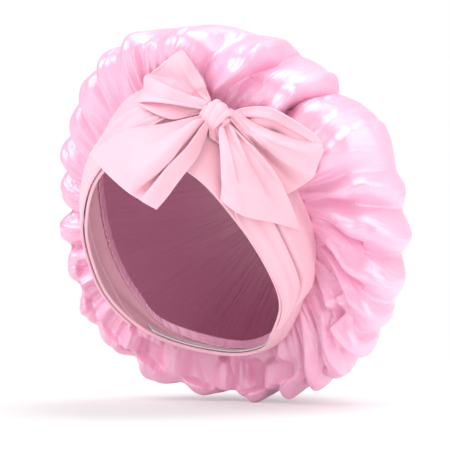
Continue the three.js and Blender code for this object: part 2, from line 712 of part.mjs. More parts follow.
const underBow = [band, crown, leftStrap, rightStrap];
addPiece('knot_tuck', tailGeometry({
  shares: tuckShares, length: knotTuckLength, turn: tuckTurn, under: underBow, stations: 4,
}), materials.jersey);
addPiece('left_loop', loopGeometry({
  shares: leftLoopShares, length: leftLoopLength, turn: leftLoopTurn, under: underBow,
}), materials.jersey);
addPiece('left_tail', tailGeometry({
  shares: leftTailShares, length: leftTailLength, turn: leftTailTurn, under: underBow,
}), materials.jersey);
const rightLoop = addPiece('right_loop', loopGeometry({
  shares: rightLoopShares, length: rightLoopLength, turn: rightLoopTurn, under: underBow, clockwise: true,
}), materials.jersey);
addPiece('right_tail', tailGeometry({
  shares: rightTailShares, length: rightTailLength, turn: rightTailTurn, under: [...underBow, rightLoop],
}), materials.jersey);

export default bonnet;
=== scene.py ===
"""A tied satin hair bonnet: a puffed, gathered satin crown on a wide jersey band, tied in a bow."""

import logging
import math
from dataclasses import dataclass, field
from enum import Enum
from typing import Callable, Sequence

import bmesh
import bpy
import numpy as np
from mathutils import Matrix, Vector
from mathutils.bvhtree import BVHTree
from mathutils.kdtree import KDTree


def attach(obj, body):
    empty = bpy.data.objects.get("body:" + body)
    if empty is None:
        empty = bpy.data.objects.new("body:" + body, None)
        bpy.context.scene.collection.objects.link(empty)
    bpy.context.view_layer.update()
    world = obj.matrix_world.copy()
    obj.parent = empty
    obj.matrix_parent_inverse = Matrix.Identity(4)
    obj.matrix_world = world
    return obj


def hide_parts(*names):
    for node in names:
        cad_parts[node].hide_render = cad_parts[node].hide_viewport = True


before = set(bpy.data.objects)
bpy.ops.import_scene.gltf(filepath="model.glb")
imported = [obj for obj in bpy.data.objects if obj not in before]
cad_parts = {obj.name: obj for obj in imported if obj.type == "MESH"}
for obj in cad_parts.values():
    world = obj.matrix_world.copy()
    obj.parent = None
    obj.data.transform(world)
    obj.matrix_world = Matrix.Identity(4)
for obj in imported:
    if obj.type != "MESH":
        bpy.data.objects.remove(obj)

log = logging.getLogger("bonnet")

Array = np.ndarray
Faces = tuple[int, int]
Pair = tuple[float, float]
Piece = bpy.types.Object
Socket = bpy.types.NodeSocket
Surface = Callable[[Array, Array], Array]
Table = Sequence[Sequence[float]]
Triple = tuple[float, float, float]
Waves = tuple[int, float, int]

# How near two places lie, in metres or in shares, to be the same one
SAME_PLACE = 1e-6
# The least length to divide by
LEAST_LENGTH = 1e-12


# The forms that the pieces share


def unit(vectors: Array) -> Array:
    """Returns the vectors at length one."""
    return vectors / np.maximum(np.linalg.norm(vectors, axis=-1, keepdims=True), LEAST_LENGTH)


def smooth_step(low: float, high: float, value: Array) -> Array:
    """Returns a soft step from 0 at low to 1 at high."""
    share = np.clip((value - low) / (high - low), 0, 1)
    return share * share * (3 - 2 * share)


def catmull_rom(a: Array, b: Array, c: Array, d: Array, share: Array) -> Array:
    """Returns the point between b and c on the smooth curve through the four points."""
    return b + 0.5 * share * (c - a + share * (2 * a - 5 * b + 4 * c - d + share * (3 * (b - c) + d - a)))


def cubic(a: Array, a_out: Array, b_in: Array, b: Array, share: Array) -> Array:
    """Returns a point on the cubic Bezier arc from a to b."""
    rest = 1 - share
    return a * rest**3 + 3 * a_out * share * rest**2 + 3 * b_in * share**2 * rest + b * share**3


def even_steps(count: int, place: Array) -> tuple[Array, Array]:
    """Returns the entry before each place in an even list, and the share of the way to the next."""
    x = np.clip(place, 0, 1) * (count - 1)
    i = np.minimum(np.floor(x).astype(int), count - 2)
    return i, x - i


def along(points: Array, place: Array) -> Array:
    """Reads a list of values or points at even steps.

    Args:
        points: The values, with the list on the first axis.
        place: Places from 0 to 1.

    Returns:
        The smooth value at each place.
    """
    points = np.asarray(points, float)
    i, share = even_steps(len(points), place)
    a, b, c, d = (points[np.clip(i + k, 0, len(points) - 1)] for k in (-1, 0, 1, 2))
    return catmull_rom(a, b, c, d, share.reshape(share.shape + (1,) * (points.ndim - 1)))


def surface_normal(surface: Surface, u: Array, v: Array, step: float = 0.004) -> Array:
    """Returns the direction square to a surface at each place."""
    low, high = np.maximum(v - step, 0), np.minimum(v + step, 1)
    along_u = surface(u + step, v) - surface(u - step, v)
    along_v = surface(u, high) - surface(u, low)
    return unit(np.cross(along_u, along_v))


def turned_outwards(normal: Array, outward: Array) -> Array:
    """Returns each normal, reversed where it points against the outward direction."""
    return normal * np.sign((normal * outward).sum(-1, keepdims=True))


def seeded_waves(place: Array, count: int, spread: float, seed: int) -> Array:
    """Makes a row of uneven round crests.

    Args:
        place: Places round the ring, from 0 to 1.
        count: How many crests there are.
        spread: How uneven their widths and heights are, from 0 to 1.
        seed: The seed of the unevenness.

    Returns:
        The height at each place, from about -1 in a valley to 1 on a crest.
    """
    rng = np.random.default_rng(seed)
    ends = np.cumsum(1 + spread * rng.uniform(-1, 1, count))
    ends = np.concatenate([[0], ends / ends[-1]])
    tall = 1 + spread * rng.uniform(-1, 1, count)
    turn = place % 1
    k = np.clip(np.searchsorted(ends, turn, side="right") - 1, 0, count - 1)
    across = (turn - ends[k]) / (ends[k + 1] - ends[k])
    return (2 * np.sin(np.pi * across) - 1) * tall[k]


class Ring:
    """A smooth closed ring, alike on both sides of the middle."""

    def __init__(self, half: Array) -> None:
        """Builds the ring.

        Args:
            half: The points of one half, from front to back.
        """
        other = (half[1:-1] * [-1, 1, 1])[::-1]
        self.points = np.concatenate([half, other])

    def at(self, turn: Array) -> Array:
        """Returns the point at each share of the whole turn."""
        count = len(self.points)
        x = (turn % 1) * count
        i = np.floor(x).astype(int)
        a, b, c, d = (self.points[(i + k) % count] for k in (-1, 0, 1, 2))
        return catmull_rom(a, b, c, d, (x - i)[..., None])


@dataclass
class FitForm:
    """The rounded form that the band is fitted to, as half sizes in metres."""

    half_width: float = 0.074
    half_depth: float = 0.094
    half_height: float = 0.105

    @property
    def half_sizes(self) -> Array:
        """Returns the half sizes along X, Y and Z."""
        return np.array([self.half_width, self.half_depth, self.half_height])

    def normal(self, points: Array) -> Array:
        """Returns the direction out of the form at each point."""
        return unit(points / self.half_sizes**2)


@dataclass
class BandForm:
    """The surface that the jersey band follows, from its open edge to the seam."""

    fit: FitForm = field(default_factory=FitForm)
    wall: float = 0.0024
    bulge: float = 0.004
    open_edge_shares: Table = (
        (0, -0.95, 0.41), (0.51, -0.85, 0.24), (0.81, -0.64, -0.06), (0.93, -0.38, -0.34),
        (0.92, -0.13, -0.59), (0.7, 0.085, -0.8), (0.43, 0.34, -0.92), (0, 0.47, -0.97),
    )
    seam_edge_shares: Table = (
        (0, -0.6, 0.86), (0.55, -0.5, 0.71), (0.96, -0.23, 0.35), (1.11, 0, 0.04),
        (1.11, 0.16, -0.24), (0.95, 0.26, -0.51), (0.68, 0.38, -0.74), (0, 0.66, -0.89),
    )

    def __post_init__(self) -> None:
        """Builds the two edge rings."""
        self.open_edge = Ring(np.array(self.open_edge_shares) * self.fit.half_sizes)
        self.seam_edge = Ring(np.array(self.seam_edge_shares) * self.fit.half_sizes)

    def middle(self, turn: Array, rise: Array) -> Array:
        """Returns the middle of the band's wall at each place."""
        rise = np.asarray(rise)[..., None]
        point = self.open_edge.at(turn) * (1 - rise) + self.seam_edge.at(turn) * rise
        return point + self.fit.normal(point) * self.bulge * np.sin(np.pi * rise)

    def normal(self, turn: Array, rise: Array) -> Array:
        """Returns the direction out of the band at each place."""
        outward = self.fit.normal(self.middle(turn, rise))
        return turned_outwards(surface_normal(self.middle, turn, rise), outward)

    def point(self, turn: Array, rise: Array, lift: Array | float = 0.0) -> Array:
        """Returns a point at a height over the band's middle."""
        height = np.broadcast_to(lift, np.shape(turn))[..., None]
        return self.middle(turn, rise) + self.normal(turn, rise) * height

    def width_at(self, turn: Array) -> Array:
        """Returns the width of the band at each place round it."""
        return np.linalg.norm(self.seam_edge.at(turn) - self.open_edge.at(turn), axis=-1)


# Cloth meshes and their simulation


def add_object(name: str, data: bpy.types.ID) -> Piece:
    """Adds an object at the origin of the scene."""
    piece = bpy.data.objects.new(name, data)
    bpy.context.scene.collection.objects.link(piece)
    return piece


def read_values(items: bpy.types.bpy_prop_collection, name: str, count: int) -> Array:
    """Returns one property of all the items, as rows of so many numbers."""
    values = np.empty(len(items) * count, np.float32)
    items.foreach_get(name, values)
    return values.reshape(-1, count)


def write_values(items: bpy.types.bpy_prop_collection, name: str, values: Array) -> None:
    """Sets one property of all the items."""
    items.foreach_set(name, values.astype(np.float32).ravel())


def grid_mesh(name: str, surface: Surface, faces: Faces, flat: Pair) -> Piece:
    """Makes a cloth mesh from a grid that is moved onto a surface and closed where it meets itself.

    Args:
        name: The name of the new object.
        surface: Gives the point for shares across (u) and along (v) the cloth.
        faces: How many faces across and along.
        flat: The width and length that the weave map covers, in metres.

    Returns:
        The new object, at the origin.
    """
    mesh = bpy.data.meshes.new(name)
    grid = bmesh.new()
    grid.loops.layers.uv.new("weave")
    bmesh.ops.create_grid(grid, x_segments=faces[0], y_segments=faces[1], size=0.5, calc_uvs=True)
    places = np.array([v.co[:2] for v in grid.verts]) + 0.5
    for vertex, point in zip(grid.verts, surface(places[:, 0], places[:, 1])):
        vertex.co = point
    bmesh.ops.remove_doubles(grid, verts=grid.verts, dist=SAME_PLACE)
    grid.to_mesh(mesh)
    grid.free()
    weave = mesh.uv_layers["weave"].uv
    write_values(weave, "vector", read_values(weave, "vector", 2) * np.array(flat, np.float32))
    piece = add_object(name, mesh)
    mesh.shade_smooth()
    return piece


def thicken(piece: Piece, wall: float) -> None:
    """Gives a sheet its wall on both sides and soft edges."""
    solid = piece.modifiers.new("wall", "SOLIDIFY")
    solid.thickness = wall
    solid.offset = 0.0
    solid.use_even_offset = False
    soften(piece)


def soften(piece: Piece) -> None:
    """Adds a subdivision surface."""
    smooth = piece.modifiers.new("smooth", "SUBSURF")
    smooth.levels = smooth.render_levels = 1
    smooth.use_limit_surface = False


def mesh_points(mesh: bpy.types.Mesh) -> Array:
    """Returns the mesh's vertex places."""
    return read_values(mesh.vertices, "co", 3).astype(float)


def tree_of(pieces: Sequence[Piece]) -> BVHTree:
    """Returns one search tree over the pieces' base meshes."""
    points: list[Vector] = []
    faces: list[list[int]] = []
    for piece in pieces:
        start = len(points)
        points += [v.co.copy() for v in piece.data.vertices]
        faces += [[start + k for k in polygon.vertices] for polygon in piece.data.polygons]
    return BVHTree.FromPolygons(points, faces)


def nearest_places(points: Array, targets: Array) -> Array:
    """Returns for each point the number of the target that lies on it."""
    tree = KDTree(len(targets))
    for k, target in enumerate(targets):
        tree.insert(target, k)
    tree.balance()
    return np.array([tree.find(point)[1] for point in points])


@dataclass
class ClothDrape:
    """A cloth simulation that lets the spare cloth of a piece buckle and sag."""

    frames: int = 12
    quality: int = 5
    vertex_mass: float = 0.02
    tension: float = 12.0
    shear: float = 5.0
    bending: float = 1.0
    gravity: float = 0.15
    pressure: float = 40.0
    hold: float = 1.0
    air_damping: float = 2.0
    weight_steps: int = 200

    def run(self, piece: Piece, weights: Array, rest: Array) -> None:
        """Simulates the piece and leaves the result in its mesh.

        Args:
            piece: The cloth, without modifiers.
            weights: How firmly each vertex is held to its place, from 0 to 1.
            rest: The places that give each edge its unstretched length.
        """
        scene = bpy.context.scene
        scene.gravity = (0, 0, -9.81)
        group = piece.vertex_groups.new(name="held")
        steps = np.round(weights * self.weight_steps).astype(int)
        for step in np.unique(steps):
            group.add(np.flatnonzero(steps == step).tolist(), step / self.weight_steps, "REPLACE")
        cloth = piece.modifiers.new("drape", "CLOTH")
        settings = cloth.settings
        settings.quality = self.quality
        settings.mass = self.vertex_mass
        settings.tension_stiffness = settings.compression_stiffness = self.tension
        settings.shear_stiffness = self.shear
        settings.bending_stiffness = self.bending
        settings.vertex_group_mass = "held"
        settings.pin_stiffness = self.hold
        settings.effector_weights.gravity = self.gravity
        settings.air_damping = self.air_damping
        settings.use_pressure = True
        settings.uniform_pressure_force = self.pressure
        piece.shape_key_add(name="Basis")
        key = piece.shape_key_add(name="cut")
        write_values(key.data, "co", rest)
        settings.rest_shape_key = key
        cloth.collision_settings.use_collision = False
        cloth.collision_settings.use_self_collision = False
        cloth.point_cache.frame_start, cloth.point_cache.frame_end = 1, self.frames
        for step in range(1, self.frames + 1):
            scene.frame_set(step)
        evaluated = piece.evaluated_get(bpy.context.evaluated_depsgraph_get())
        points = mesh_points(evaluated.data)
        piece.modifiers.remove(cloth)
        piece.shape_key_clear()
        piece.vertex_groups.clear()
        write_values(piece.data.vertices, "co", points)
        piece.data.update()
        scene.frame_set(1)


# Finishes


class Slot(Enum):
    """The material slots of the record."""

    SATIN = "satin"
    JERSEY = "jersey"
    ELASTIC = "elastic"


class Hold(Enum):
    """What keeps a sheet of cloth in its shape."""

    GATHERED = "gathered"
    STRETCHED = "stretched"
    LAID = "laid"
    FOLDED = "folded"
    DRAPED = "draped"


@dataclass(frozen=True)
class Cut:
    """How a piece of cloth was cut, in metres, and what carries it."""

    width: float
    length: float
    held: Hold
    rests_on: Sequence[str]
    area: float | None = None

    @property
    def flat(self) -> Pair:
        """Returns the width and length of the cut."""
        return (self.width, self.length)

    def declare(self, piece: Piece, with_pieces: Sequence[Piece] = ()) -> None:
        """Takes a piece of this cloth and the trims sewn to it, and does nothing with them."""


class Nodes:
    """Short ways to set up the shader nodes of a material or a world."""

    def __init__(self, owner: bpy.types.ID, shader: str = "Principled BSDF", **inputs: object) -> None:
        """Turns the nodes on.

        Args:
            owner: The material or the world.
            shader: The name of the shader that it starts with.
            **inputs: That shader's inputs, as for add.
        """
        owner.use_nodes = True
        self.tree = owner.node_tree
        self.shader = self.tree.nodes[shader]
        self.set(self.shader, **inputs)

    def set(self, node: bpy.types.Node, **values: object) -> None:
        """Sets a node's properties and inputs, and links outputs to its inputs."""
        for key, value in values.items():
            if hasattr(node, key):
                setattr(node, key, value)
            elif isinstance(value, Socket):
                self.tree.links.new(value, node.inputs[key.replace("_", " ")])
            else:
                node.inputs[key.replace("_", " ")].default_value = value

    def add(self, kind: str, output: str = "Fac", **values: object) -> Socket:
        """Adds a node.

        Args:
            kind: The node's type name, without its ShaderNode prefix.
            output: The output that is wanted.
            **values: Properties, and inputs with underscores for spaces, as values or as outputs.

        Returns:
            The wanted output.
        """
        node = self.tree.nodes.new("ShaderNode" + kind)
        self.set(node, **values)
        return node.outputs[output]

    def join(self, kind: str, output: str, *sources: Socket, **values: object) -> Socket:
        """Adds a node whose first inputs are linked to the sources in turn."""
        joined = self.add(kind, output, **values)
        for source, socket in zip(sources, joined.node.inputs):
            self.tree.links.new(source, socket)
        return joined

    def cloth(self, name: str, across: float = 1.0, lengthwise: float = 1.0) -> Socket:
        """Returns a cloth map's places, scaled across the cloth and along it."""
        places = self.add("UVMap", "UV", uv_map=name)
        return self.add("Mapping", "Vector", Vector=places, Scale=(across, lengthwise, 1))

    def tint(self, first: Triple, second: Triple, share: Socket) -> None:
        """Mixes two colours for the shader by a pattern."""
        mix = self.add("Mix", "Result", data_type="RGBA", A=(*first, 1), B=(*second, 1), Factor=share)
        self.set(self.shader, Base_Color=mix)

    def relief(self, *layers: tuple[Socket, float, float]) -> None:
        """Stacks bumps for the shader, each as its pattern, strength and depth in metres."""
        under = {}
        for height, strength, depth in layers:
            bump = self.add("Bump", "Normal", Strength=strength, Distance=depth, Height=height, **under)
            under = {"Normal": bump}
        self.set(self.shader, **under)


@dataclass(frozen=True)
class SatinFinish:
    """Glossy pink satin: long floats that shine, and fine creases from sewing."""

    colour: Triple = (0.92, 0.405, 0.615)
    pale: Triple = (0.945, 0.485, 0.675)
    roughness: float = 0.36
    roughness_spread: Pair = (-0.02, 0.03)
    thread: float = 0.00035
    thread_stretch: float = 0.06
    crease: float = 0.007
    crease_stretch: float = 0.13

    def material(self, name: str) -> bpy.types.Material:
        """Returns the node material."""
        material = bpy.data.materials.new(name)
        nodes = Nodes(material, Specular_IOR_Level=1.0, IOR=1.8, Sheen_Weight=0.3, Sheen_Roughness=0.3)
        body = nodes.add("TexCoord", "Object")
        cloudy = nodes.add("TexNoise", Vector=body, Scale=14.0, Detail=3.0, Roughness=0.5)
        nodes.tint(self.colour, self.pale, cloudy)
        floats = nodes.cloth("weave", 1 / self.thread, self.thread_stretch / self.thread)
        threads = nodes.add("TexNoise", Vector=floats, Scale=1.0, Detail=2.0, Roughness=0.6)
        creases = nodes.add("TexNoise", Vector=body, Scale=55.0, Detail=4.0, Roughness=0.55, Distortion=0.6)
        drawn = nodes.cloth("gathers", 1 / self.crease, self.crease_stretch / self.crease)
        lines = nodes.add("TexNoise", Vector=drawn, Scale=1.0, Detail=3.0, Roughness=0.5, Distortion=0.9)
        low, high = (self.roughness + spread for spread in self.roughness_spread)
        spread = nodes.add("MapRange", "Result", Value=threads, To_Min=low, To_Max=high)
        nodes.set(nodes.shader, Roughness=spread)
        nodes.relief((threads, 0.02, 0.0001), (creases, 0.25, 0.0008), (lines, 0.6, 0.003))
        return material


@dataclass(frozen=True)
class JerseyFinish:
    """Matte pale pink stretch jersey, with its fine knitted wales."""

    colour: Triple = (0.94, 0.53, 0.63)
    pale: Triple = (0.955, 0.59, 0.685)
    wale: float = 0.0007
    wale_stretch: float = 0.7

    def material(self, name: str) -> bpy.types.Material:
        """Returns the node material."""
        material = bpy.data.materials.new(name)
        nodes = Nodes(material, Roughness=0.72, Specular_IOR_Level=0.35,
                      Sheen_Weight=0.25, Sheen_Roughness=0.5)
        body = nodes.add("TexCoord", "Object")
        cloudy = nodes.add("TexNoise", Vector=body, Scale=26.0, Detail=4.0, Roughness=0.6)
        nodes.tint(self.colour, self.pale, cloudy)
        knit = nodes.cloth("weave", 1 / self.wale, self.wale_stretch / self.wale)
        loops = nodes.add("TexVoronoi", "Distance", Vector=knit, Scale=1.0, Randomness=0.25)
        soft = nodes.add("TexNoise", Vector=body, Scale=120.0, Detail=3.0)
        nodes.relief((loops, 0.25, 0.0002), (soft, 0.2, 0.0004))
        return material


@dataclass(frozen=True)
class ElasticFinish:
    """Ribbed white elastic tape, with painted shade darkening the grooves between its ribs."""

    colour: Triple = (0.96, 0.89, 0.91)
    # How dark the painted shade in the grooves between the ribs is, as a share of the colour
    painted_groove_shade: float = 0.86
    rib: float = 0.0011

    def material(self, name: str) -> bpy.types.Material:
        """Returns the node material."""
        material = bpy.data.materials.new(name)
        nodes = Nodes(material, Roughness=0.8)
        ribs = nodes.add("TexWave", wave_type="BANDS", bands_direction="X", Vector=nodes.cloth("weave"),
                         Scale=0.05 * math.tau / self.rib, Distortion=0.4)
        # Painted shade: the colour is darkened in the low parts of the ribs' relief
        nodes.tint(tuple(self.painted_groove_shade * c for c in self.colour), self.colour, ribs)
        nodes.relief((ribs, 0.5, 0.0003))
        return material


class Wardrobe:
    """The finishes, each made once, and the way that a piece is made up in them."""

    def __init__(self) -> None:
        """Makes the materials."""
        finishes = {Slot.SATIN: SatinFinish(), Slot.JERSEY: JerseyFinish(), Slot.ELASTIC: ElasticFinish()}
        self.materials = {slot: finish.material(slot.value) for slot, finish in finishes.items()}

    def dress(self, piece: Piece, slot: Slot, node: str, cut: Cut | None = None,
              body: str = "bonnet") -> Piece:
        """Finishes a piece, gives it its body and hides the CAD node that it replaces.

        Args:
            piece: The piece.
            slot: Its finish.
            node: The CAD node that it replaces.
            cut: How it was cut, where it is a sheet of cloth.
            body: The body that it rides on.

        Returns:
            The same piece.
        """
        piece.data.materials.clear()
        piece.data.materials.append(self.materials[slot])
        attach(piece, body)
        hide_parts(node)
        if cut:
            cut.declare(piece)
        log.info("%s: %d vertices", piece.name, len(piece.data.vertices))
        return piece


# The crown


@dataclass
class Crown:
    """The puffed satin crown, gathered into the seam of the band."""

    band: BandForm
    half_width: float = 0.127
    fore_reach: float = 0.024
    back_reach: float = 0.166
    top_reach: float = 0.132
    bottom_reach: float = 0.130
    side_shift: float = 0.004
    middle_reach: float = 0.044
    back_rise: float = 0.022
    seam_lift: float = 0.0008
    faces: Faces = (384, 62)
    row_power: float = 1.25
    weave_size: Pair = (0.95, 0.30)
    fold_depth: float = 0.0145
    pleat_depth: float = 0.0022
    firmness: float = 0.12
    seam_firmness: float = 0.2
    firm_rise: float = 0.05
    round_share: float = 0.35
    size_limits: Pair = (0.5, 1.25)
    crease_power: float = 1.5
    fine_share: float = 0.9
    calm_rises: Pair = (0.86, 1.0)
    spare_length: float = 1.01
    least_drop: float = 0.15
    # The rise of the widest ring, and how far the side lines are drawn out from the ends of their arcs.
    widest_rise: float = 0.3
    pulls: Sequence[float] = (0.3, 0.34, 0.6, 0.6)
    widest_shares: Table = (
        (0, -1, 0.98), (0.38, -0.75, 0.91), (0.71, 0.01, 0.65), (0.92, 0.13, 0.28),
        (0.98, 0.2, -0.15), (0.88, 0.26, -0.58), (0.52, 0.42, -0.91), (0, 0.56, -1),
    )
    # The rises at which the tables below give a line's place round the crown.
    line_rises: Sequence[float] = (0, 0.12, 0.3, 0.5, 0.8)
    # The crests of the main folds. Each has its places in thousandths of the turn and then, in
    # hundredths: its height as a share of the fold depth, where the valley after it lies between it and
    # the next crest, how far it leans over that valley, how deep that valley is, and how much of the
    # fold is left at the crown's widest ring.
    crest_table: Table = (
        (22, 24, 20, 12, 5, 30, 55, 0, 17, 20), (62, 85, 90, 76, 62, 50, 30, 40, 42, 30),
        (102, 113, 121, 114, 106, 22, 55, 0, 5, 45), (130, 143, 157, 153, 144, 65, 40, -70, -45, 90),
        (165, 174, 182, 184, 184, 50, 75, 20, 10, 85), (191, 216, 238, 250, 255, 43, 50, 30, 27, 50),
        (212, 248, 278, 293, 298, 57, 60, 50, 41, 60), (246, 290, 318, 334, 340, 57, 60, 50, 31, 30),
        (282, 330, 358, 372, 380, 34, 50, 20, 24, 35), (312, 360, 388, 402, 410, 61, 60, 40, 38, 45),
        (352, 396, 420, 434, 442, 39, 50, 20, 31, 30), (396, 424, 445, 458, 468, 52, 55, 10, 34, 35),
        (446, 456, 468, 482, 495, 39, 50, 0, 27, 30), (490, 494, 500, 508, 520, 48, 55, 0, 31, 25),
        (540, 538, 536, 540, 552, 34, 45, 0, 20, 25), (580, 576, 570, 575, 586, 43, 50, 0, 27, 20),
        (628, 620, 612, 616, 628, 20, 55, -10, 14, 25), (668, 658, 650, 652, 660, 27, 45, -10, 19, 15),
        (708, 698, 690, 692, 698, 20, 50, -20, 14, 25), (748, 740, 733, 735, 740, 29, 45, -20, 19, 25),
        (786, 779, 773, 776, 782, 20, 55, -10, 12, 20), (826, 820, 815, 819, 826, 29, 50, -20, 22, 35),
        (862, 858, 854, 857, 863, 17, 50, 0, 12, 20), (896, 894, 892, 894, 898, 27, 55, 0, 14, 12),
        (930, 928, 925, 925, 928, 26, 50, 0, 30, 25), (966, 964, 960, 956, 954, 38, 50, 10, 17, 12),
    )
    # Short creases in the puffs: their places in thousandths of the turn and then, in hundredths, their
    # depth, their half width and the rise where they have died out.
    crease_table: Table = (
        (44, 55, 56, 46, 40, 40, 60, 40), (123, 135, 147, 143, 134, 170, 85, 85),
        (112, 123, 134, 129, 121, -90, 40, 70), (67, 91, 97, 84, 71, 65, 70, 50),
        (59, 82, 87, 74, 61, -45, 35, 50), (150, 157, 164, 164, 160, 40, 80, 26),
        (202, 230, 252, 266, 270, 50, 50, 55), (228, 268, 296, 310, 315, 55, 50, 60),
        (262, 306, 335, 350, 355, 45, 50, 45), (298, 346, 374, 388, 395, 50, 50, 55),
        (330, 374, 400, 414, 420, 45, 60, 50), (374, 410, 432, 446, 455, 40, 50, 45),
        (420, 438, 455, 470, 480, 40, 60, 40), (468, 476, 484, 495, 507, 35, 50, 35),
        (515, 515, 518, 525, 535, 35, 60, 35), (605, 598, 592, 596, 605, 30, 60, 30),
        (688, 679, 671, 673, 680, 30, 60, 40), (728, 720, 713, 715, 722, 30, 50, 25),
        (768, 760, 754, 756, 760, 40, 60, 40), (806, 800, 795, 798, 804, 30, 50, 25),
        (842, 838, 834, 838, 845, 35, 60, 35), (880, 877, 874, 877, 882, 30, 50, 25),
        (914, 912, 910, 911, 914, 35, 50, 30), (982, 980, 976, 972, 970, 35, 60, 30),
    )
    # Profiles up the crown, or round it for the last, as places and what they read there.
    low_folds: Table = ((0, 0.04, 0.1, 0.2, 0.32, 0.5), (0.1, 0.6, 1, 0.75, 0.25, 0))
    high_folds: Table = ((0.06, 0.2, 0.32, 0.5, 0.7, 0.9, 1), (0, 0.5, 0.95, 0.8, 0.45, 0.1, 0))
    crease_width: Table = ((0, 0.12, 0.4), (0.6, 1, 1.5))
    crease_start: Table = ((0, 0.05, 0.12), (0.2, 0.8, 1))
    fine_fade: Table = ((0, 0.015, 0.05, 0.13), (0.5, 1, 0.7, 0))
    wide_fade: Table = ((0, 0.02, 0.07, 0.18, 0.36), (0, 0.6, 1.2, 0.6, 0))
    spare_cloth: Table = ((0, 0.1, 0.35, 0.7, 1), (1.05, 1.06, 1.04, 1.02, 1.0))
    wide_share: Table = ((0, 0.16, 0.22, 0.48, 0.6, 0.9, 1), (0.25, 0.25, 1, 1, 0.7, 0.4, 0.25))
    # The count, unevenness and seed of the gathers.
    fine_waves: Waves = (104, 0.35, 3)
    wide_waves: Waves = (57, 0.45, 5)
    cut: Cut = Cut(0.5, 0.5, Hold.GATHERED, ("band",), area=0.196)
    drape: ClothDrape = field(default_factory=ClothDrape)

    def __post_init__(self) -> None:
        """Builds the widest ring and reads the tables in their units."""
        shares = np.array(self.widest_shares)
        reach = np.stack([
            np.full(len(shares), self.half_width),
            np.where(shares[:, 1] < 0, self.fore_reach, self.back_reach),
            np.where(shares[:, 2] < 0, self.bottom_reach, self.top_reach),
        ], axis=1)
        self.widest = Ring(shares * reach)
        self.back = np.array([self.side_shift, self.back_reach, self.back_rise])
        self.middle = np.array([self.side_shift, self.middle_reach, 0.0])
        self.creased = np.array(self.crease_table) / np.repeat([1000, 100], [5, 3])
        crests = np.array(self.crest_table) / np.repeat([1000, 100], [5, 5])
        turn = np.repeat([1.0, 0.0], [5, 5])
        self.crests = np.concatenate([crests[-1:] - turn, crests, crests[:1] + turn])

    def smooth(self, turn: Array, rise: Array) -> Array:
        """Returns the crown's surface without its folds."""
        seam = self.band.point(turn, np.ones_like(turn), self.seam_lift)
        wide = self.widest.at(turn) + [self.side_shift, 0, 0]
        outward, backward = wide - self.middle, self.back - self.middle
        first, second, third, last = self.pulls
        rise = rise[..., None]
        low = cubic(seam, seam + first * outward, wide - second * backward, wide,
                    np.clip(rise / self.widest_rise, 0, 1))
        high = cubic(wide, wide + third * backward, self.back + last * outward, self.back,
                     np.clip((rise - self.widest_rise) / (1 - self.widest_rise), 0, 1))
        return np.where(rise < self.widest_rise, low, high)

    def normal(self, turn: Array, rise: Array) -> Array:
        """Returns the direction out of the crown."""
        normal = surface_normal(self.smooth, turn, np.clip(rise, 0.004, 0.98), 0.003)
        return turned_outwards(normal, self.smooth(turn, rise) - self.middle)

    def between_crests(self, turn: Array, rise: Array) -> tuple[Array, Array, Array]:
        """Finds each place among the crests, which curve as they rise.

        Args:
            turn: The place round the crown.
            rise: The place from the seam to the middle of the back.

        Returns:
            The number of the crest before it, its share of the way to the next one, and that way.
        """
        place = turn % 1
        crests = np.stack([np.interp(rise, self.line_rises, row[:5]) for row in self.crests], axis=-1)
        k = np.clip((crests <= place[..., None]).sum(-1) - 1, 0, len(self.crests) - 2)
        here = np.take_along_axis(crests, k[..., None], -1)[..., 0]
        there = np.take_along_axis(crests, k[..., None] + 1, -1)[..., 0]
        return k, (place - here) / np.maximum(there - here, SAME_PLACE), there - here

    def seam_turn(self, turn: Array, rise: Array) -> Array:
        """Returns where the thread of cloth at each place starts on the seam."""
        k, across, _ = self.between_crests(turn, rise)
        return self.crests[k, 0] * (1 - across) + self.crests[k + 1, 0] * across

    def folds(self, turn: Array, rise: Array) -> tuple[Array, Array]:
        """Returns the height of the main folds and how far each place leans to the side."""
        table = self.crests
        k, across, way = self.between_crests(turn, rise)
        valley = table[k, 6]
        past = 0.5 + 0.5 * (across - valley) / (1 - valley)
        across = np.where(across < valley, 0.5 * across / valley, past)
        height = np.where(across < 0.5, table[k, 5], table[k + 1, 5])
        lean = np.where(across < 0.5, table[k, 7], table[k + 1, 7])
        swell = (self.round_share * (0.5 + 0.5 * np.cos(math.tau * across))
                 + (1 - self.round_share) * np.abs(np.cos(np.pi * across)))
        size = way * len(self.crest_table)
        kept = table[k, 9] * (1 - across) + table[k + 1, 9] * across
        share = np.interp(rise, *self.low_folds) + np.interp(rise, *self.high_folds) * kept
        depth = self.fold_depth * share * np.clip(size, *self.size_limits)
        crest = height * swell
        return depth * (crest - table[k, 8] * (1 - swell)), depth * crest * lean

    def creases(self, turn: Array, rise: Array) -> Array:
        """Returns the depth of the short creases in the puffs."""
        place = turn % 1
        height = np.zeros_like(place)
        for *places, depth, half_width, reach in self.creased:
            off = (place - np.interp(rise, self.line_rises, places) + 0.5) % 1 - 0.5
            width = 0.01 * half_width * np.interp(rise, *self.crease_width)
            fade = np.interp(rise, *self.crease_start) * (1 - smooth_step(0.5 * reach, reach, rise))
            height -= self.fold_depth * depth * np.exp(-np.abs(off / width) ** self.crease_power) * fade
        return height

    def pleats(self, turn: Array, rise: Array) -> Array:
        """Returns the height of the fine gathers that start at the seam."""
        start = self.seam_turn(turn, rise)
        share = np.interp(turn % 1, *self.wide_share)
        fine = seeded_waves(start, *self.fine_waves) * np.interp(rise, *self.fine_fade)
        wide = seeded_waves(start, *self.wide_waves) * np.interp(rise, *self.wide_fade)
        return self.pleat_depth * (fine * self.fine_share + wide * share)

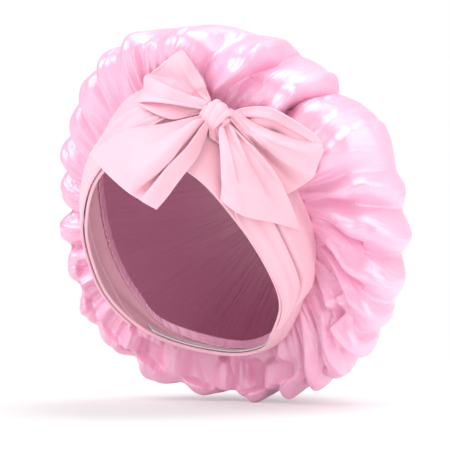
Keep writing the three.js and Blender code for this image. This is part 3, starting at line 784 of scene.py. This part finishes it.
    def folded(self, turn: Array, rise: Array) -> Array:
        """Returns the crown's surface with its folds and gathers."""
        height, lean = self.folds(turn, rise)
        height = height + self.creases(turn, rise) + self.pleats(turn, rise)
        calm = 1 - smooth_step(*self.calm_rises, rise)[..., None]
        aside = unit(self.smooth(turn + 0.003, rise) - self.smooth(turn - 0.003, rise))
        offset = self.normal(turn, rise) * height[..., None] + aside * lean[..., None]
        return self.smooth(turn, rise) + offset * calm

    def cut_places(self, points: Array) -> Array:
        """Gives each edge of the cloth its unstretched length.

        Args:
            points: The folded surface, as columns, rows and coordinates.

        Returns:
            A round vessel whose rings and side lines have the cut cloth's lengths.
        """
        around = np.linalg.norm(np.roll(points, -1, 0) - points, axis=-1).sum(0)
        rows = np.linspace(0, 1, points.shape[1])
        radius = around / math.tau * np.interp(rows, *self.spare_cloth)
        steps = np.linalg.norm(np.diff(points, axis=1), axis=-1) * self.spare_length
        drop = np.sqrt(np.maximum(steps**2 - np.diff(radius)[None] ** 2, (self.least_drop * steps) ** 2))
        height = np.concatenate([np.zeros((len(points), 1)), np.cumsum(drop, axis=1)], axis=1)
        angle = math.tau * np.arange(len(points))[:, None] / len(points)
        return np.stack([radius * np.cos(angle), radius * np.sin(angle), height], axis=-1)

    def build(self, wardrobe: Wardrobe) -> Piece:
        """Makes, drapes and dresses the crown."""
        def surface(u: Array, v: Array) -> Array:
            """Returns the folded surface, with closer rows near the seam."""
            return self.folded(u, v**self.row_power)

        piece = grid_mesh("crown_satin", surface, self.faces, self.weave_size)
        weave = piece.data.uv_layers["weave"].uv
        turn, row = (read_values(weave, "vector", 2) / self.weave_size).T.astype(float)
        # The far edge of the map closes the round, so it starts a whole turn further on.
        closing = turn > 1 - SAME_PLACE
        start = self.seam_turn(np.where(closing, 0.0, turn), row**self.row_power) + closing
        gathers = piece.data.uv_layers.new(name="gathers", do_init=False).uv
        write_values(gathers, "vector", np.stack([start, row], axis=-1) * self.weave_size)
        self.relax(piece, surface)
        soften(piece)
        return wardrobe.dress(piece, Slot.SATIN, "crown", self.cut)

    def relax(self, piece: Piece, surface: Surface) -> None:
        """Lets the spare satin buckle and sag between its seam and the folds."""
        columns, rows = self.faces
        steps = np.arange(columns) / columns, np.linspace(0, 1, rows + 1)
        turn, row = np.meshgrid(*steps, indexing="ij")
        target = surface(turn, row)
        order = nearest_places(mesh_points(piece.data), target.reshape(-1, 3))
        rest = self.cut_places(target).reshape(-1, 3)[order]
        share = row.reshape(-1)[order]
        firm = self.firmness + self.seam_firmness * (1 - smooth_step(0, self.firm_rise, share))
        self.drape.run(piece, np.where(share < SAME_PLACE, 1.0, firm), rest)


# The band and what lies on it


@dataclass
class Band:
    """The wide jersey band, with its straps, its seam allowance and its nape elastic."""

    form: BandForm
    strap_wall: float = 0.0016
    edge_lift: float = 0.0018
    pleat_depth: float = 0.0011
    ripple_depth: float = 0.0004
    pucker_depth: float = 0.00035
    pull_depth: float = 0.0005
    groove_depth: float = 0.0016
    groove_width: float = 0.0013
    groove_offset: float = 0.0012
    # How far the band puffs out past the straps, and where that starts or ends: in metres past their
    # edges, as a share of the band's width, and as shares of the turn in front and behind.
    bulge: float = 0.0042
    bulge_start: Pair = (0.0014, 0.0042)
    bulge_end: Pair = (0.6, 0.97)
    bulge_front: Pair = (0.15, 0.19)
    bulge_back: Pair = (0.3, 0.335)
    gap: float = 0.0006
    allowance_width: float = 0.008
    allowance_wall: float = 0.0009
    allowance_depth: float = 0.0016
    allowance_pleats: Pair = (0.0002, 0.0006)
    allowance_length: float = 0.95
    elastic_length: float = 0.13
    elastic_width: float = 0.009
    elastic_wall: float = 0.0012
    elastic_inset: float = 0.0012
    elastic_half_turn: float = 0.13
    knot_radius: float = 0.0104
    # The count, unevenness and seed of the puckers and of the allowance's pleats.
    pucker_waves: Waves = (60, 0.4, 11)
    allowance_waves: Waves = (112, 0.35, 3)
    band_faces: Faces = (192, 46)
    strap_faces: Faces = (110, 18)
    allowance_faces: Faces = (336, 3)
    elastic_faces: Faces = (60, 4)
    band_cut: Cut = Cut(0.54, 0.05, Hold.STRETCHED, ("crown",))
    left_strap_cut: Cut = Cut(0.165, 0.02, Hold.LAID, ("band",))
    right_strap_cut: Cut = Cut(0.215, 0.024, Hold.LAID, ("band",))
    # From the sewn end to the knot: the share of the way round, the shares of the band's width at the
    # strap's two edges, and its lift as a share of the knot's radius.
    left_strap_shares: Table = (
        (0.335, 0, 0.05, 0), (0.2815, 0, 0.355, 0), (0.24, 0, 0.345, 0), (0.18, 0, 0.345, 0),
        (0.135, 0.02, 0.41, 0), (0.105, 0.3, 0.65, 0), (0.086, 0.64, 0.84, 0.1),
    )
    right_strap_shares: Table = (
        (-0.335, 0, 0.05, 0), (-0.2875, 0, 0.36, 0), (-0.22, 0, 0.37, 0), (-0.14, 0, 0.375, 0),
        (-0.06, 0.02, 0.42, 0), (0.005, 0.25, 0.6, 0), (0.034, 0.62, 0.82, 0.1),
    )

    def groove(self, turn: Array, rise: Array) -> Array:
        """Returns how far the band is pressed in under the straps' upper edges, less its puff."""
        turned = (turn + 0.5) % 1 - 0.5
        steps = np.linspace(0, 1, 120)
        right, left = along(self.right_strap_shares, steps), along(self.left_strap_shares, steps)
        path = np.concatenate([right, left[::-1]])
        edge = np.interp(turned, path[:, 0], path[:, 2], left=-1, right=-1)
        beyond = (rise - edge) * self.form.width_at(turn)
        pressed = self.groove_depth * np.exp(-((beyond - self.groove_offset) / self.groove_width) ** 2)
        puffed = smooth_step(*self.bulge_start, beyond) * (1 - smooth_step(*self.bulge_end, rise))
        aside = np.abs(turned)
        side = smooth_step(*self.bulge_front, aside) * (1 - smooth_step(*self.bulge_back, aside))
        return pressed - self.bulge * puffed * side

    def band_surface(self, turn: Array, rise: Array) -> Array:
        """Returns the band's middle surface, puckered by the gathers of the seam."""
        near_seam = np.interp(rise, [0.6, 0.93, 1], [0, 1, 1])
        pucker = seeded_waves(turn, *self.pucker_waves) * near_seam * self.pucker_depth
        tension = np.sin(2 * np.pi * (3 * turn + 2.2 * rise)) * np.sin(np.pi * rise) * self.pull_depth
        return self.form.point(turn, rise, pucker + tension - self.groove(turn, rise))

    def strap_surface(self, shares: Table) -> Surface:
        """Returns the surface of a strap that lies on the band and is drawn together at the knot."""
        table = np.array(shares)
        last = len(table) - 1

        def surface(u: Array, v: Array) -> Array:
            """Returns the strap's middle surface, with a sharp corner at its second place."""
            turn, low, high, rising = np.moveaxis(along(table, u), -1, 0)
            straight = np.interp(u, np.linspace(0, 1, last + 1), table[:, 2])
            high = np.where(u < 2 / last, straight, high)
            drawn = smooth_step(0.62, 1.0, u)
            pleat = np.cos(2 * np.pi * 3 * v) * self.pleat_depth * drawn
            ripple = np.cos(2 * np.pi * 2 * v + 1) * self.ripple_depth
            height = (self.form.wall + self.strap_wall) / 2 + self.gap + rising * self.knot_radius
            edge = self.edge_lift * smooth_step(0.72, 1.0, v) * smooth_step(0.35, 0.6, u)
            lift = height + (pleat + ripple) + edge + self.ripple_depth
            return self.form.point(turn, low + (high - low) * v, lift)

        return surface

    def allowance_surface(self, u: Array, v: Array) -> Array:
        """Returns the pleated strip inside the seam."""
        shallow, deeper = self.allowance_pleats
        pleat = seeded_waves(u, *self.allowance_waves) * (shallow + deeper * v)
        depth = -(self.form.wall + self.allowance_depth) / 2 - self.gap
        return self.form.point(u, 1 - v * self.allowance_width / self.form.width_at(u), depth + pleat)

    def elastic_surface(self, u: Array, v: Array) -> Array:
        """Returns the tape inside the nape."""
        turn = 0.5 + (2 * u - 1) * self.elastic_half_turn
        depth = -(self.form.wall + self.elastic_wall) / 2 - self.gap
        rise = (self.elastic_inset + v * self.elastic_width) / self.form.width_at(turn)
        return self.form.point(turn, rise, depth)

    def build(self, wardrobe: Wardrobe) -> list[Piece]:
        """Makes the band and what is sewn and laid on it."""
        band = grid_mesh("band_jersey", self.band_surface, self.band_faces, self.band_cut.flat)
        thicken(band, self.form.wall)
        wardrobe.dress(band, Slot.JERSEY, "band")
        straps = []
        for node, shares, cut in (
            ("strap_left", self.left_strap_shares, self.left_strap_cut),
            ("strap_right", self.right_strap_shares, self.right_strap_cut),
        ):
            strap = grid_mesh(f"{node}_jersey", self.strap_surface(shares), self.strap_faces, cut.flat)
            thicken(strap, self.strap_wall)
            straps.append(wardrobe.dress(strap, Slot.JERSEY, node, cut))
        self.band_cut.declare(band, self.build_inside(wardrobe))
        return [band, *straps]

    def build_inside(self, wardrobe: Wardrobe) -> list[Piece]:
        """Makes the gathered seam allowance and the elastic at the nape."""
        size = (self.allowance_length, self.allowance_width)
        strip = grid_mesh("seam_allowance_satin", self.allowance_surface, self.allowance_faces, size)
        thicken(strip, self.allowance_wall)
        size = (self.elastic_length, self.elastic_width)
        tape = grid_mesh("nape_elastic_tape", self.elastic_surface, self.elastic_faces, size)
        thicken(tape, self.elastic_wall)
        return [wardrobe.dress(strip, Slot.SATIN, "seam_allowance"),
                wardrobe.dress(tape, Slot.ELASTIC, "nape_elastic")]


# The knot and the bow


@dataclass
class KnotFrame:
    """Where the knot sits, and the directions that the bow is drawn in."""

    form: BandForm
    turn_share: float = 0.068
    rise_share: float = 0.69
    radius: float = 0.0104
    squash: float = 0.75
    gap: float = 0.0006
    bow_turn: float = math.radians(28)
    wrap_turn: float = math.radians(-45)

    def __post_init__(self) -> None:
        """Works out the knot's centre and axes."""
        turn, rise = np.array([self.turn_share]), np.array([self.rise_share])
        self.out = self.form.normal(turn, rise)[0]
        foot = self.form.middle(turn, rise)[0]
        self.centre = foot + self.out * (self.form.wall / 2 + self.gap + self.radius * self.squash)
        cos, sin = math.cos(self.bow_turn), math.sin(self.bow_turn)
        self.bow_axes = np.array([[cos, sin, 0.0], [0.0, 0.0, 1.0], [sin, -cos, 0.0]])
        bow_across = self.bow_axes[0]
        across = bow_across - self.out * (bow_across @ self.out)
        self.across = across / np.linalg.norm(across)
        self.up = np.cross(self.out, self.across)

    def bow_point(self, place: Array) -> Array:
        """Returns the point for a place across, up and out in the bow's frame."""
        return self.centre + place @ self.bow_axes

    def knot_point(self, across: Array, up: Array, out: Array) -> Array:
        """Returns the point for a place in the knot's own frame, squashed onto the band."""
        out = np.where(out < 0, out * self.squash, out)
        return (self.centre + across[..., None] * self.across + up[..., None] * self.up
                + out[..., None] * self.out)

    def wrap_point(self, angle: Array, place: Array, radius: Array) -> Array:
        """Returns a point of the turn: its angle round its axis, place along it and radius."""
        aside, out = np.sin(angle) * radius, np.cos(angle) * radius
        cos, sin = math.cos(self.wrap_turn), math.sin(self.wrap_turn)
        return self.knot_point(place * cos - aside * sin, place * sin + aside * cos, out)


@dataclass
class Knot:
    """The turn of strap round the bow's middle, the crossed straps inside it and the tucked end."""

    at: KnotFrame
    wrap_length: float = 0.015
    wrap_wall: float = 0.0024
    pleat_depth: float = 0.0009
    pleats: float = 3.3
    pleat_sway: float = 0.07
    pleat_slant: float = 0.45
    taper: float = 0.16
    fill: float = 0.8
    crease_depth: float = 0.09
    creases: int = 5
    least_radius: float = 0.02
    wrap_cut: Cut = Cut(0.058, 0.0157, Hold.FOLDED, ("knot_core",))
    core_map: Pair = (0.03, 0.02)
    wrap_faces: Faces = (80, 40)
    core_faces: Faces = (48, 24)
    core_shares: Table = (
        (-1, 0.02), (-0.97, 0.3), (-0.85, 0.5), (-0.45, 0.54), (0, 0.54),
        (0.45, 0.54), (0.85, 0.5), (0.97, 0.3), (1, 0.02),
    )

    def wrap_surface(self, u: Array, v: Array) -> Array:
        """Returns the outer turn, drawn into slanting pleats."""
        along_axis = 2 * v - 1
        phase = self.pleats * (v + self.pleat_sway * np.sin(2 * np.pi * v))
        phase = phase + self.pleat_slant * np.sin(2 * np.pi * u + 0.8)
        pleat = np.abs(np.cos(np.pi * phase)) ** 0.8 - 0.6
        radius = (self.at.radius - self.wrap_wall / 2) * (1 - self.taper * along_axis**2)
        radius = radius + self.pleat_depth * pleat * (1 - 0.3 * along_axis**2)
        angle = 2 * np.pi * u
        return self.at.wrap_point(angle, (v - 0.5) * self.wrap_length, radius)

    def core_surface(self, u: Array, v: Array) -> Array:
        """Returns the bundle of crossed straps, as a creased round end."""
        place, share = np.moveaxis(along(self.core_shares, v), -1, 0)
        waves = np.cos(self.creases * 2 * np.pi * u + 1.5 * v)
        crease = 1 + self.crease_depth * waves * np.sin(np.pi * v)
        radius = np.maximum(share, self.least_radius) * self.at.radius * crease
        return self.at.wrap_point(2 * np.pi * u, place * self.at.radius, radius)

    def build(self, wardrobe: Wardrobe) -> None:
        """Makes the knot's pieces."""
        wrap = grid_mesh("knot_wrap_jersey", self.wrap_surface, self.wrap_faces, self.wrap_cut.flat)
        thicken(wrap, self.wrap_wall * self.fill)
        wardrobe.dress(wrap, Slot.JERSEY, "knot_wrap", self.wrap_cut)
        core = grid_mesh("knot_core_jersey", self.core_surface, self.core_faces, self.core_map)
        soften(core)
        wardrobe.dress(core, Slot.JERSEY, "knot_core")


@dataclass
class Lobe:
    """One loop or tail of the bow."""

    name: str
    body: str
    length: float
    degrees: float
    # The ribs across the strap from the knot outwards. Their points' places across and up and their
    # heights over what the lobe hangs over are in hundredths of its length.
    ribs: Sequence[Table]
    faces: Faces = (64, 36)
    loop: bool = False
    clockwise: bool = False
    pleats: float = 3.0
    fold_power: float = 1.7
    fold_ends: Pair = (0.12, 0.08)
    cut: Cut = Cut(0.016, 0.0125, Hold.FOLDED, ("knot_wrap",))
    # Each fold of the cloth: where it runs across the strap at three even steps between its two ends, its
    # two ends along the lobe, its height as a share of the lobe's length and its half width across.
    folds: Table = ()

    def fold_height(self, u: Array, v: Array) -> Array:
        """Returns how far the folds lift each place of the lobe, in metres."""
        height = np.zeros_like(u)
        before, after = self.fold_ends
        for first, middle, last, start, end, rise, width in self.folds:
            share = np.clip((u - start) / (end - start), 0, 1)
            off = (v - np.interp(share, [0, 0.5, 1], [first, middle, last])) / width
            begun = smooth_step(start - before, start + after, u)
            fade = begun * (1 - smooth_step(end - after, end + before, u))
            height += rise * np.exp(-np.abs(off) ** self.fold_power) * fade
        return height * self.length


@dataclass
class Bow:
    """The bow's two loops, two tails and tucked end."""

    at: KnotFrame
    wall: float = 0.0016
    root_width: float = 0.008
    loop_root_depth: float = 0.006
    root_reach: float = 0.0085
    hang_gap: float = 0.0032
    sample_reach: float = 0.005
    pleat_depth: float = 0.0011
    root_start: float = 0.45
    ray_start: float = 0.26
    lift_rounds: int = 4
    least_lift: float = 0.75
    map_steps: Faces = (41, 17)
    tuck: Lobe = field(default_factory=lambda: Lobe("knot_tuck", "bonnet", 0.013, -95, (
        ((-36, -98, 25), (4, -105, 38), (45, -102, 25)),
        ((-33, -116, 17), (2, -136, 24), (38, -150, 17)),
    ), faces=(24, 36)))
    lobes: Sequence[Lobe] = (
        Lobe("left_loop", "bow_left_loop", 0.060, 142, (
            ((-14, 42, 3), (-30, 32, 3), (-43, 14, 3), (-51, -4, 3)),
            ((-38, 75, 8), (-58, 62, 10), (-79, 45, 12), (-88, 15, 8)),
            ((-19, 44, 13), (-37, 35, 22), (-50, 26, 25), (-52, 14, 18)),
        ), faces=(96, 36), loop=True, cut=Cut(0.095, 0.048, Hold.FOLDED, ("knot_core",)), folds=(
            (0.66, 0.66, 0.55, 0.5, 1.0, -0.055, 0.07), (0.5, 0.45, 0.4, 0.5, 0.95, 0.05, 0.14),
            (0.84, 0.85, 0.8, 0.5, 1.0, 0.045, 0.08), (0.1, 0.16, 0.24, 0.62, 1.0, -0.045, 0.05),
            (0.02, 0.05, 0.1, 0.55, 1.0, 0.03, 0.06), (0.3, 0.3, 0.3, 0.7, 1.0, -0.02, 0.04),
        )),
        Lobe("left_tail", "bow_left_tail", 0.090, 214, (
            ((-37, -6, 3), (-32, -13, 8), (-26, -21, 11), (-23, -27, 3), (-13, -29, 7)),
            ((-66, -10, 3), (-57, -26, 9), (-47, -42, 13), (-40, -45, 4), (-26, -46, 9)),
            ((-97, -28, 24), (-83, -43, 13), (-67, -57, 13), (-56, -64, 6), (-44, -71, 8)),
        ), cut=Cut(0.088, 0.059, Hold.DRAPED, ("knot_core", "strap_left")), folds=(
            (0.62, 0.68, 0.63, 0.05, 0.9, -0.05, 0.06), (0.8, 0.86, 0.84, 0.05, 0.95, 0.095, 0.075),
            (0.42, 0.46, 0.44, 0.1, 0.85, 0.06, 0.12), (0.2, 0.22, 0.26, 0.0, 0.55, -0.018, 0.05),
            (0.5, 0.53, 0.56, 0.0, 0.4, -0.02, 0.03), (0.97, 0.98, 0.99, 0.1, 0.9, -0.03, 0.06),
            (0.33, 0.3, 0.3, 0.0, 0.35, -0.014, 0.03),
        )),
        Lobe("right_loop", "bow_right_loop", 0.075, 8, (
            ((49, 7, 3), (52, -7, 3), (50, -22, 3), (45, -38, 3)),
            ((97, -24, 7), (95, -36, 8), (86, -56, 8), (65, -70, 7)),
            ((49, -14, 16), (50, -23, 23), (48, -32, 19), (44, -40, 11)),
        ), faces=(96, 36), loop=True, clockwise=True,
            cut=Cut(0.12, 0.044, Hold.FOLDED, ("knot_core",)), folds=(
            (0.42, 0.36, 0.45, 0.58, 1.0, -0.045, 0.07), (0.14, 0.12, 0.16, 0.52, 1.0, 0.03, 0.1),
            (0.6, 0.6, 0.62, 0.55, 1.0, 0.035, 0.12), (0.84, 0.8, 0.75, 0.6, 1.0, -0.03, 0.05),
            (0.3, 0.35, 0.3, 0.0, 0.42, 0.035, 0.07), (0.62, 0.6, 0.52, 0.0, 0.45, -0.035, 0.07),
            (0.15, 0.18, 0.2, 0.0, 0.38, -0.03, 0.05),
        )),
        Lobe("right_tail", "bow_right_tail", 0.080, -48, (
            ((6, -33, 12), (13, -32, 21), (23, -38, 10), (38, -33, 15)),
            ((5, -54, 10), (19, -60, 19), (37, -60, 11), (57, -59, 15)),
            ((4, -72, 9), (23, -85, 12), (46, -90, 10), (73, -97, 7)),
        ), cut=Cut(0.08, 0.05, Hold.DRAPED, ("right_loop",)), folds=(
            (0.22, 0.18, 0.16, 0.0, 0.7, 0.06, 0.08), (0.42, 0.38, 0.36, 0.0, 0.62, -0.06, 0.06),
            (0.66, 0.62, 0.6, 0.05, 0.8, 0.06, 0.12), (0.86, 0.86, 0.84, 0.0, 0.6, -0.03, 0.06),
            (0.3, 0.28, 0.3, 0.0, 0.35, -0.02, 0.03), (0.0, 0.0, 0.02, 0.2, 0.9, -0.02, 0.05),
        )),
    )

    def rest_reach(self, across: float, up: float, under: BVHTree) -> float:
        """Returns how far out the front of what a lobe hangs over lies."""
        point = Vector(self.at.bow_point(np.array([across, up, self.ray_start])))
        hit = under.ray_cast(point, Vector(-self.at.bow_axes[2]))
        near = self.fit_reach(across, up)
        return near if hit[0] is None else max(self.ray_start - hit[3], near)

    def fit_reach(self, across: float, up: float) -> float:
        """Returns how far out the form under the band lies, or the nearest place past its outline."""
        sizes = self.at.form.fit.half_sizes
        start = self.at.bow_point(np.array([across, up, 0.0])) / sizes
        ray = self.at.bow_axes[2] / sizes
        half, square = start @ ray, ray @ ray
        return (-half + math.sqrt(max(half * half - square * (start @ start - 1), 0.0))) / square

    def root_rib(self, lobe: Lobe, depth: float) -> Array:
        """Returns the rib that comes out of the knot."""
        count = len(lobe.ribs[0])
        steps = np.linspace(-0.5, 0.5, count) * self.root_width * (-1 if lobe.clockwise else 1)
        cos, sin = math.cos(math.radians(lobe.degrees)), math.sin(math.radians(lobe.degrees))
        across, up = cos * self.root_reach - sin * steps, sin * self.root_reach + cos * steps
        points = self.at.knot_point(across, up, np.full(count, depth)) - self.at.centre
        return points @ self.at.bow_axes.T

    def rib_net(self, lobe: Lobe, under: BVHTree) -> Array:
        """Returns the lobe's ribs in the bow's frame, in metres."""
        ribs = []
        for rib in lobe.ribs:
            points = np.array(rib) / 100 * lobe.length
            points[:, 2] += [self.rest_reach(x, y, under) + self.wall / 2 for x, y in points[:, :2]]
            ribs.append(points)
        depth = self.loop_root_depth / 2 if lobe.loop else 0.0
        ribs.insert(0, self.root_rib(lobe, -depth))
        if lobe.loop:
            ribs.append(self.root_rib(lobe, depth))
        return np.array(ribs)

    def lobe_surface(self, lobe: Lobe, under: BVHTree) -> Surface:
        """Returns the lobe's surface with its folds, kept clear of what it hangs over."""
        net = self.rib_net(lobe, under)

        def place(u: Array, v: Array) -> Array:
            """Returns the smooth sheet through the ribs."""
            rows = np.stack([along(rib, v) for rib in net])
            i, share = even_steps(len(net), u)
            each = np.arange(len(u))
            a, b, c, d = (rows[np.clip(i + k, 0, len(net) - 1), each] for k in (-1, 0, 1, 2))
            return catmull_rom(a, b, c, d, share[:, None])

        def creased(u: Array, v: Array) -> Array:
            """Returns the sheet with its folds and the pleats at its root."""
            root = np.abs(2 * u - 1) if lobe.loop else 1 - u
            pleat = np.cos(2 * np.pi * lobe.pleats * v) * self.pleat_depth
            height = pleat * smooth_step(self.root_start, 1.0, root) + lobe.fold_height(u, v)
            return place(u, v) + surface_normal(place, u, v) * height[:, None]

        lift = self.clearance(creased, under, lobe.loop)

        def surface(u: Array, v: Array) -> Array:
            """Returns points of the lobe in the object's frame."""
            points = creased(u, v)
            across = np.stack([along(row, v) for row in lift])
            i, share = even_steps(len(lift), u)
            each = np.arange(len(u))
            points[:, 2] += across[i, each] * (1 - share) + across[i + 1, each] * share
            return self.at.bow_point(points)

        return surface

    def clearance(self, surface: Surface, under: BVHTree, loop: bool) -> Array:
        """Works out how far a lobe is lifted off what it hangs over.

        Args:
            surface: The lobe's surface in the bow's frame.
            under: What it hangs over.
            loop: Whether it comes back to the knot in front of itself.

        Returns:
            A smooth map of the lift along and across the lobe, in metres.
        """
        reach = self.sample_reach
        corners = ((0, 0), (reach, 0), (-reach, 0), (0, reach), (0, -reach))
        along_steps, across_steps = self.map_steps
        grids = np.meshgrid(np.linspace(0, 1, along_steps), np.linspace(0, 1, across_steps), indexing="ij")
        u, v = (grid.ravel() for grid in grids)
        points = surface(u, v)
        need = np.zeros(len(u))
        for k in np.flatnonzero(np.hypot(points[:, 0], points[:, 1]) > self.at.radius + self.root_width):
            clear = max(self.rest_reach(points[k, 0] + i, points[k, 1] + j, under) for i, j in corners)
            need[k] = max(clear + self.hang_gap + self.wall / 2 - points[k, 2], 0.0)
        need = need.reshape(self.map_steps)
        if loop:
            middle = along_steps // 2
            need[middle:] = np.maximum(need[middle:], need[middle::-1])
        lift = need
        for _ in range(self.lift_rounds):
            padded = np.pad(lift, 1, mode="edge")
            spread = (padded[:-2, 1:-1] + padded[2:, 1:-1] + padded[1:-1, :-2] + padded[1:-1, 2:]) / 4
            lift = np.maximum(0.5 * (lift + spread), self.least_lift * need)
        return lift

    def build(self, wardrobe: Wardrobe, under: Sequence[Piece]) -> None:
        """Makes the bow over what it hangs on."""
        laid = list(under)
        for lobe in (self.tuck, *self.lobes):
            surface = self.lobe_surface(lobe, tree_of(laid))
            piece = grid_mesh(f"{lobe.name}_jersey", surface, lobe.faces, lobe.cut.flat)
            thicken(piece, self.wall)
            wardrobe.dress(piece, Slot.JERSEY, lobe.name, lobe.cut, lobe.body)
            if lobe.name == "right_loop":
                laid.append(piece)


# The studio


@dataclass
class Studio:
    """The camera, the lamps, the pale floor and the white surroundings."""

    azimuth: float = math.radians(28)
    distance: float = 1.6
    pixels_per_metre: float = 1400.0
    frame_pixels: float = 450.0
    sensor_width: float = 36.0
    aim_across: float = 0.01643
    aim_up: float = -0.00714
    floor_size: float = 30.0
    floor_height: float = -0.1385
    floor_colour: Triple = (0.93, 0.93, 0.93)
    # The distances between which the floor fades, and how white it is there.
    floor_fade: Pair = (0.15, 0.75)
    floor_white: Pair = (0.35, 1.0)
    sky_colour: Triple = (1.0, 0.98, 0.985)
    sky_strength: float = 0.42
    lamp_aim: Triple = (0.02, 0.03, 0)
    # Each lamp's name, place, width and height in metres, and power in watts.
    lamps: Sequence[tuple[str, Triple, Pair, float]] = (
        ("key", (-0.65, -1.25, 1.2), (1.4, 1.2), 24.0),
        ("front", (1.3, -1.2, 0.1), (0.7, 1.5), 8.0),
        ("side", (1.3, 1.1, 0.6), (1.2, 1.5), 13.0),
        ("top", (0.3, 0.5, 1.5), (1.6, 1.2), 20.0),
    )

    def camera(self) -> None:
        """Places the camera at the photograph's angle."""
        right = Vector((math.cos(self.azimuth), math.sin(self.azimuth), 0))
        back = Vector((math.sin(self.azimuth), -math.cos(self.azimuth), 0))
        lens = bpy.data.cameras.new("camera")
        lens.sensor_width = self.sensor_width
        lens.lens = self.sensor_width * self.distance * self.pixels_per_metre / self.frame_pixels
        camera = add_object("camera", lens)
        camera.location = right * self.aim_across + Vector((0, 0, self.aim_up)) + back * self.distance
        camera.rotation_euler = (math.pi / 2, 0, self.azimuth)
        bpy.context.scene.camera = camera

    def light(self) -> None:
        """Adds the soft area lamps, which face the bonnet."""
        for name, place, size, power in self.lamps:
            light = bpy.data.lights.new(name, "AREA")
            light.shape = "RECTANGLE"
            light.size, light.size_y = size
            light.energy = power
            lamp = add_object(name, light)
            lamp.location = place
            lamp.rotation_euler = (Vector(self.lamp_aim) - lamp.location).to_track_quat("-Z", "Y").to_euler()

    def world(self) -> None:
        """Lights softly from all round, and shows white behind the object."""
        world = bpy.data.worlds.new("studio")
        bpy.context.scene.world = world
        nodes = Nodes(world, "Background", Color=(*self.sky_colour, 1), Strength=self.sky_strength)
        soft = nodes.shader.outputs["Background"]
        white = nodes.add("Background", "Background", Color=(1, 1, 1, 1))
        seen = nodes.add("LightPath", "Is Camera Ray")
        mixed = nodes.join("MixShader", "Shader", seen, soft, white)
        nodes.set(nodes.tree.nodes["World Output"], Surface=mixed)

    def floor(self) -> None:
        """Adds the pale floor, which fades to white with distance."""
        mesh = bpy.data.meshes.new("floor")
        shape = bmesh.new()
        bmesh.ops.create_grid(shape, x_segments=1, y_segments=1, size=self.floor_size)
        bmesh.ops.translate(shape, verts=shape.verts, vec=(0, 0, self.floor_height))
        shape.to_mesh(mesh)
        shape.free()
        floor = add_object("floor", mesh)
        material = bpy.data.materials.new("pale floor")
        nodes = Nodes(material, Base_Color=(*self.floor_colour, 1), Roughness=0.9)
        distance = nodes.join("VectorMath", "Value", nodes.add("TexCoord", "Object"), operation="LENGTH")
        near, far = self.floor_fade
        pale, white = self.floor_white
        fade = nodes.add("MapRange", "Result", Value=distance, From_Min=near, From_Max=far,
                         To_Min=pale, To_Max=white)
        camera = nodes.add("LightPath", "Is Camera Ray")
        seen = nodes.join("Math", "Value", camera, fade, operation="MULTIPLY")
        glow = nodes.add("Emission", "Emission", Strength=1.0)
        mixed = nodes.join("MixShader", "Shader", seen, nodes.shader.outputs["BSDF"], glow)
        nodes.set(nodes.tree.nodes["Material Output"], Surface=mixed)
        floor.data.materials.append(material)

    def build(self) -> None:
        """Sets up the whole studio."""
        self.camera()
        self.light()
        self.world()
        self.floor()
        bpy.context.scene.view_settings.view_transform = "Standard"


def main() -> None:
    """Builds the bonnet in its order, from the crown and the band to the bow."""
    logging.basicConfig(level=logging.INFO, format="%(name)s: %(message)s")
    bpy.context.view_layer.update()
    Studio().build()
    wardrobe = Wardrobe()
    form = BandForm()
    crown = Crown(form).build(wardrobe)
    laid = Band(form).build(wardrobe)
    at = KnotFrame(form)
    Knot(at).build(wardrobe)
    Bow(at).build(wardrobe, [crown, *laid])


if __name__ == "__main__":
    main()
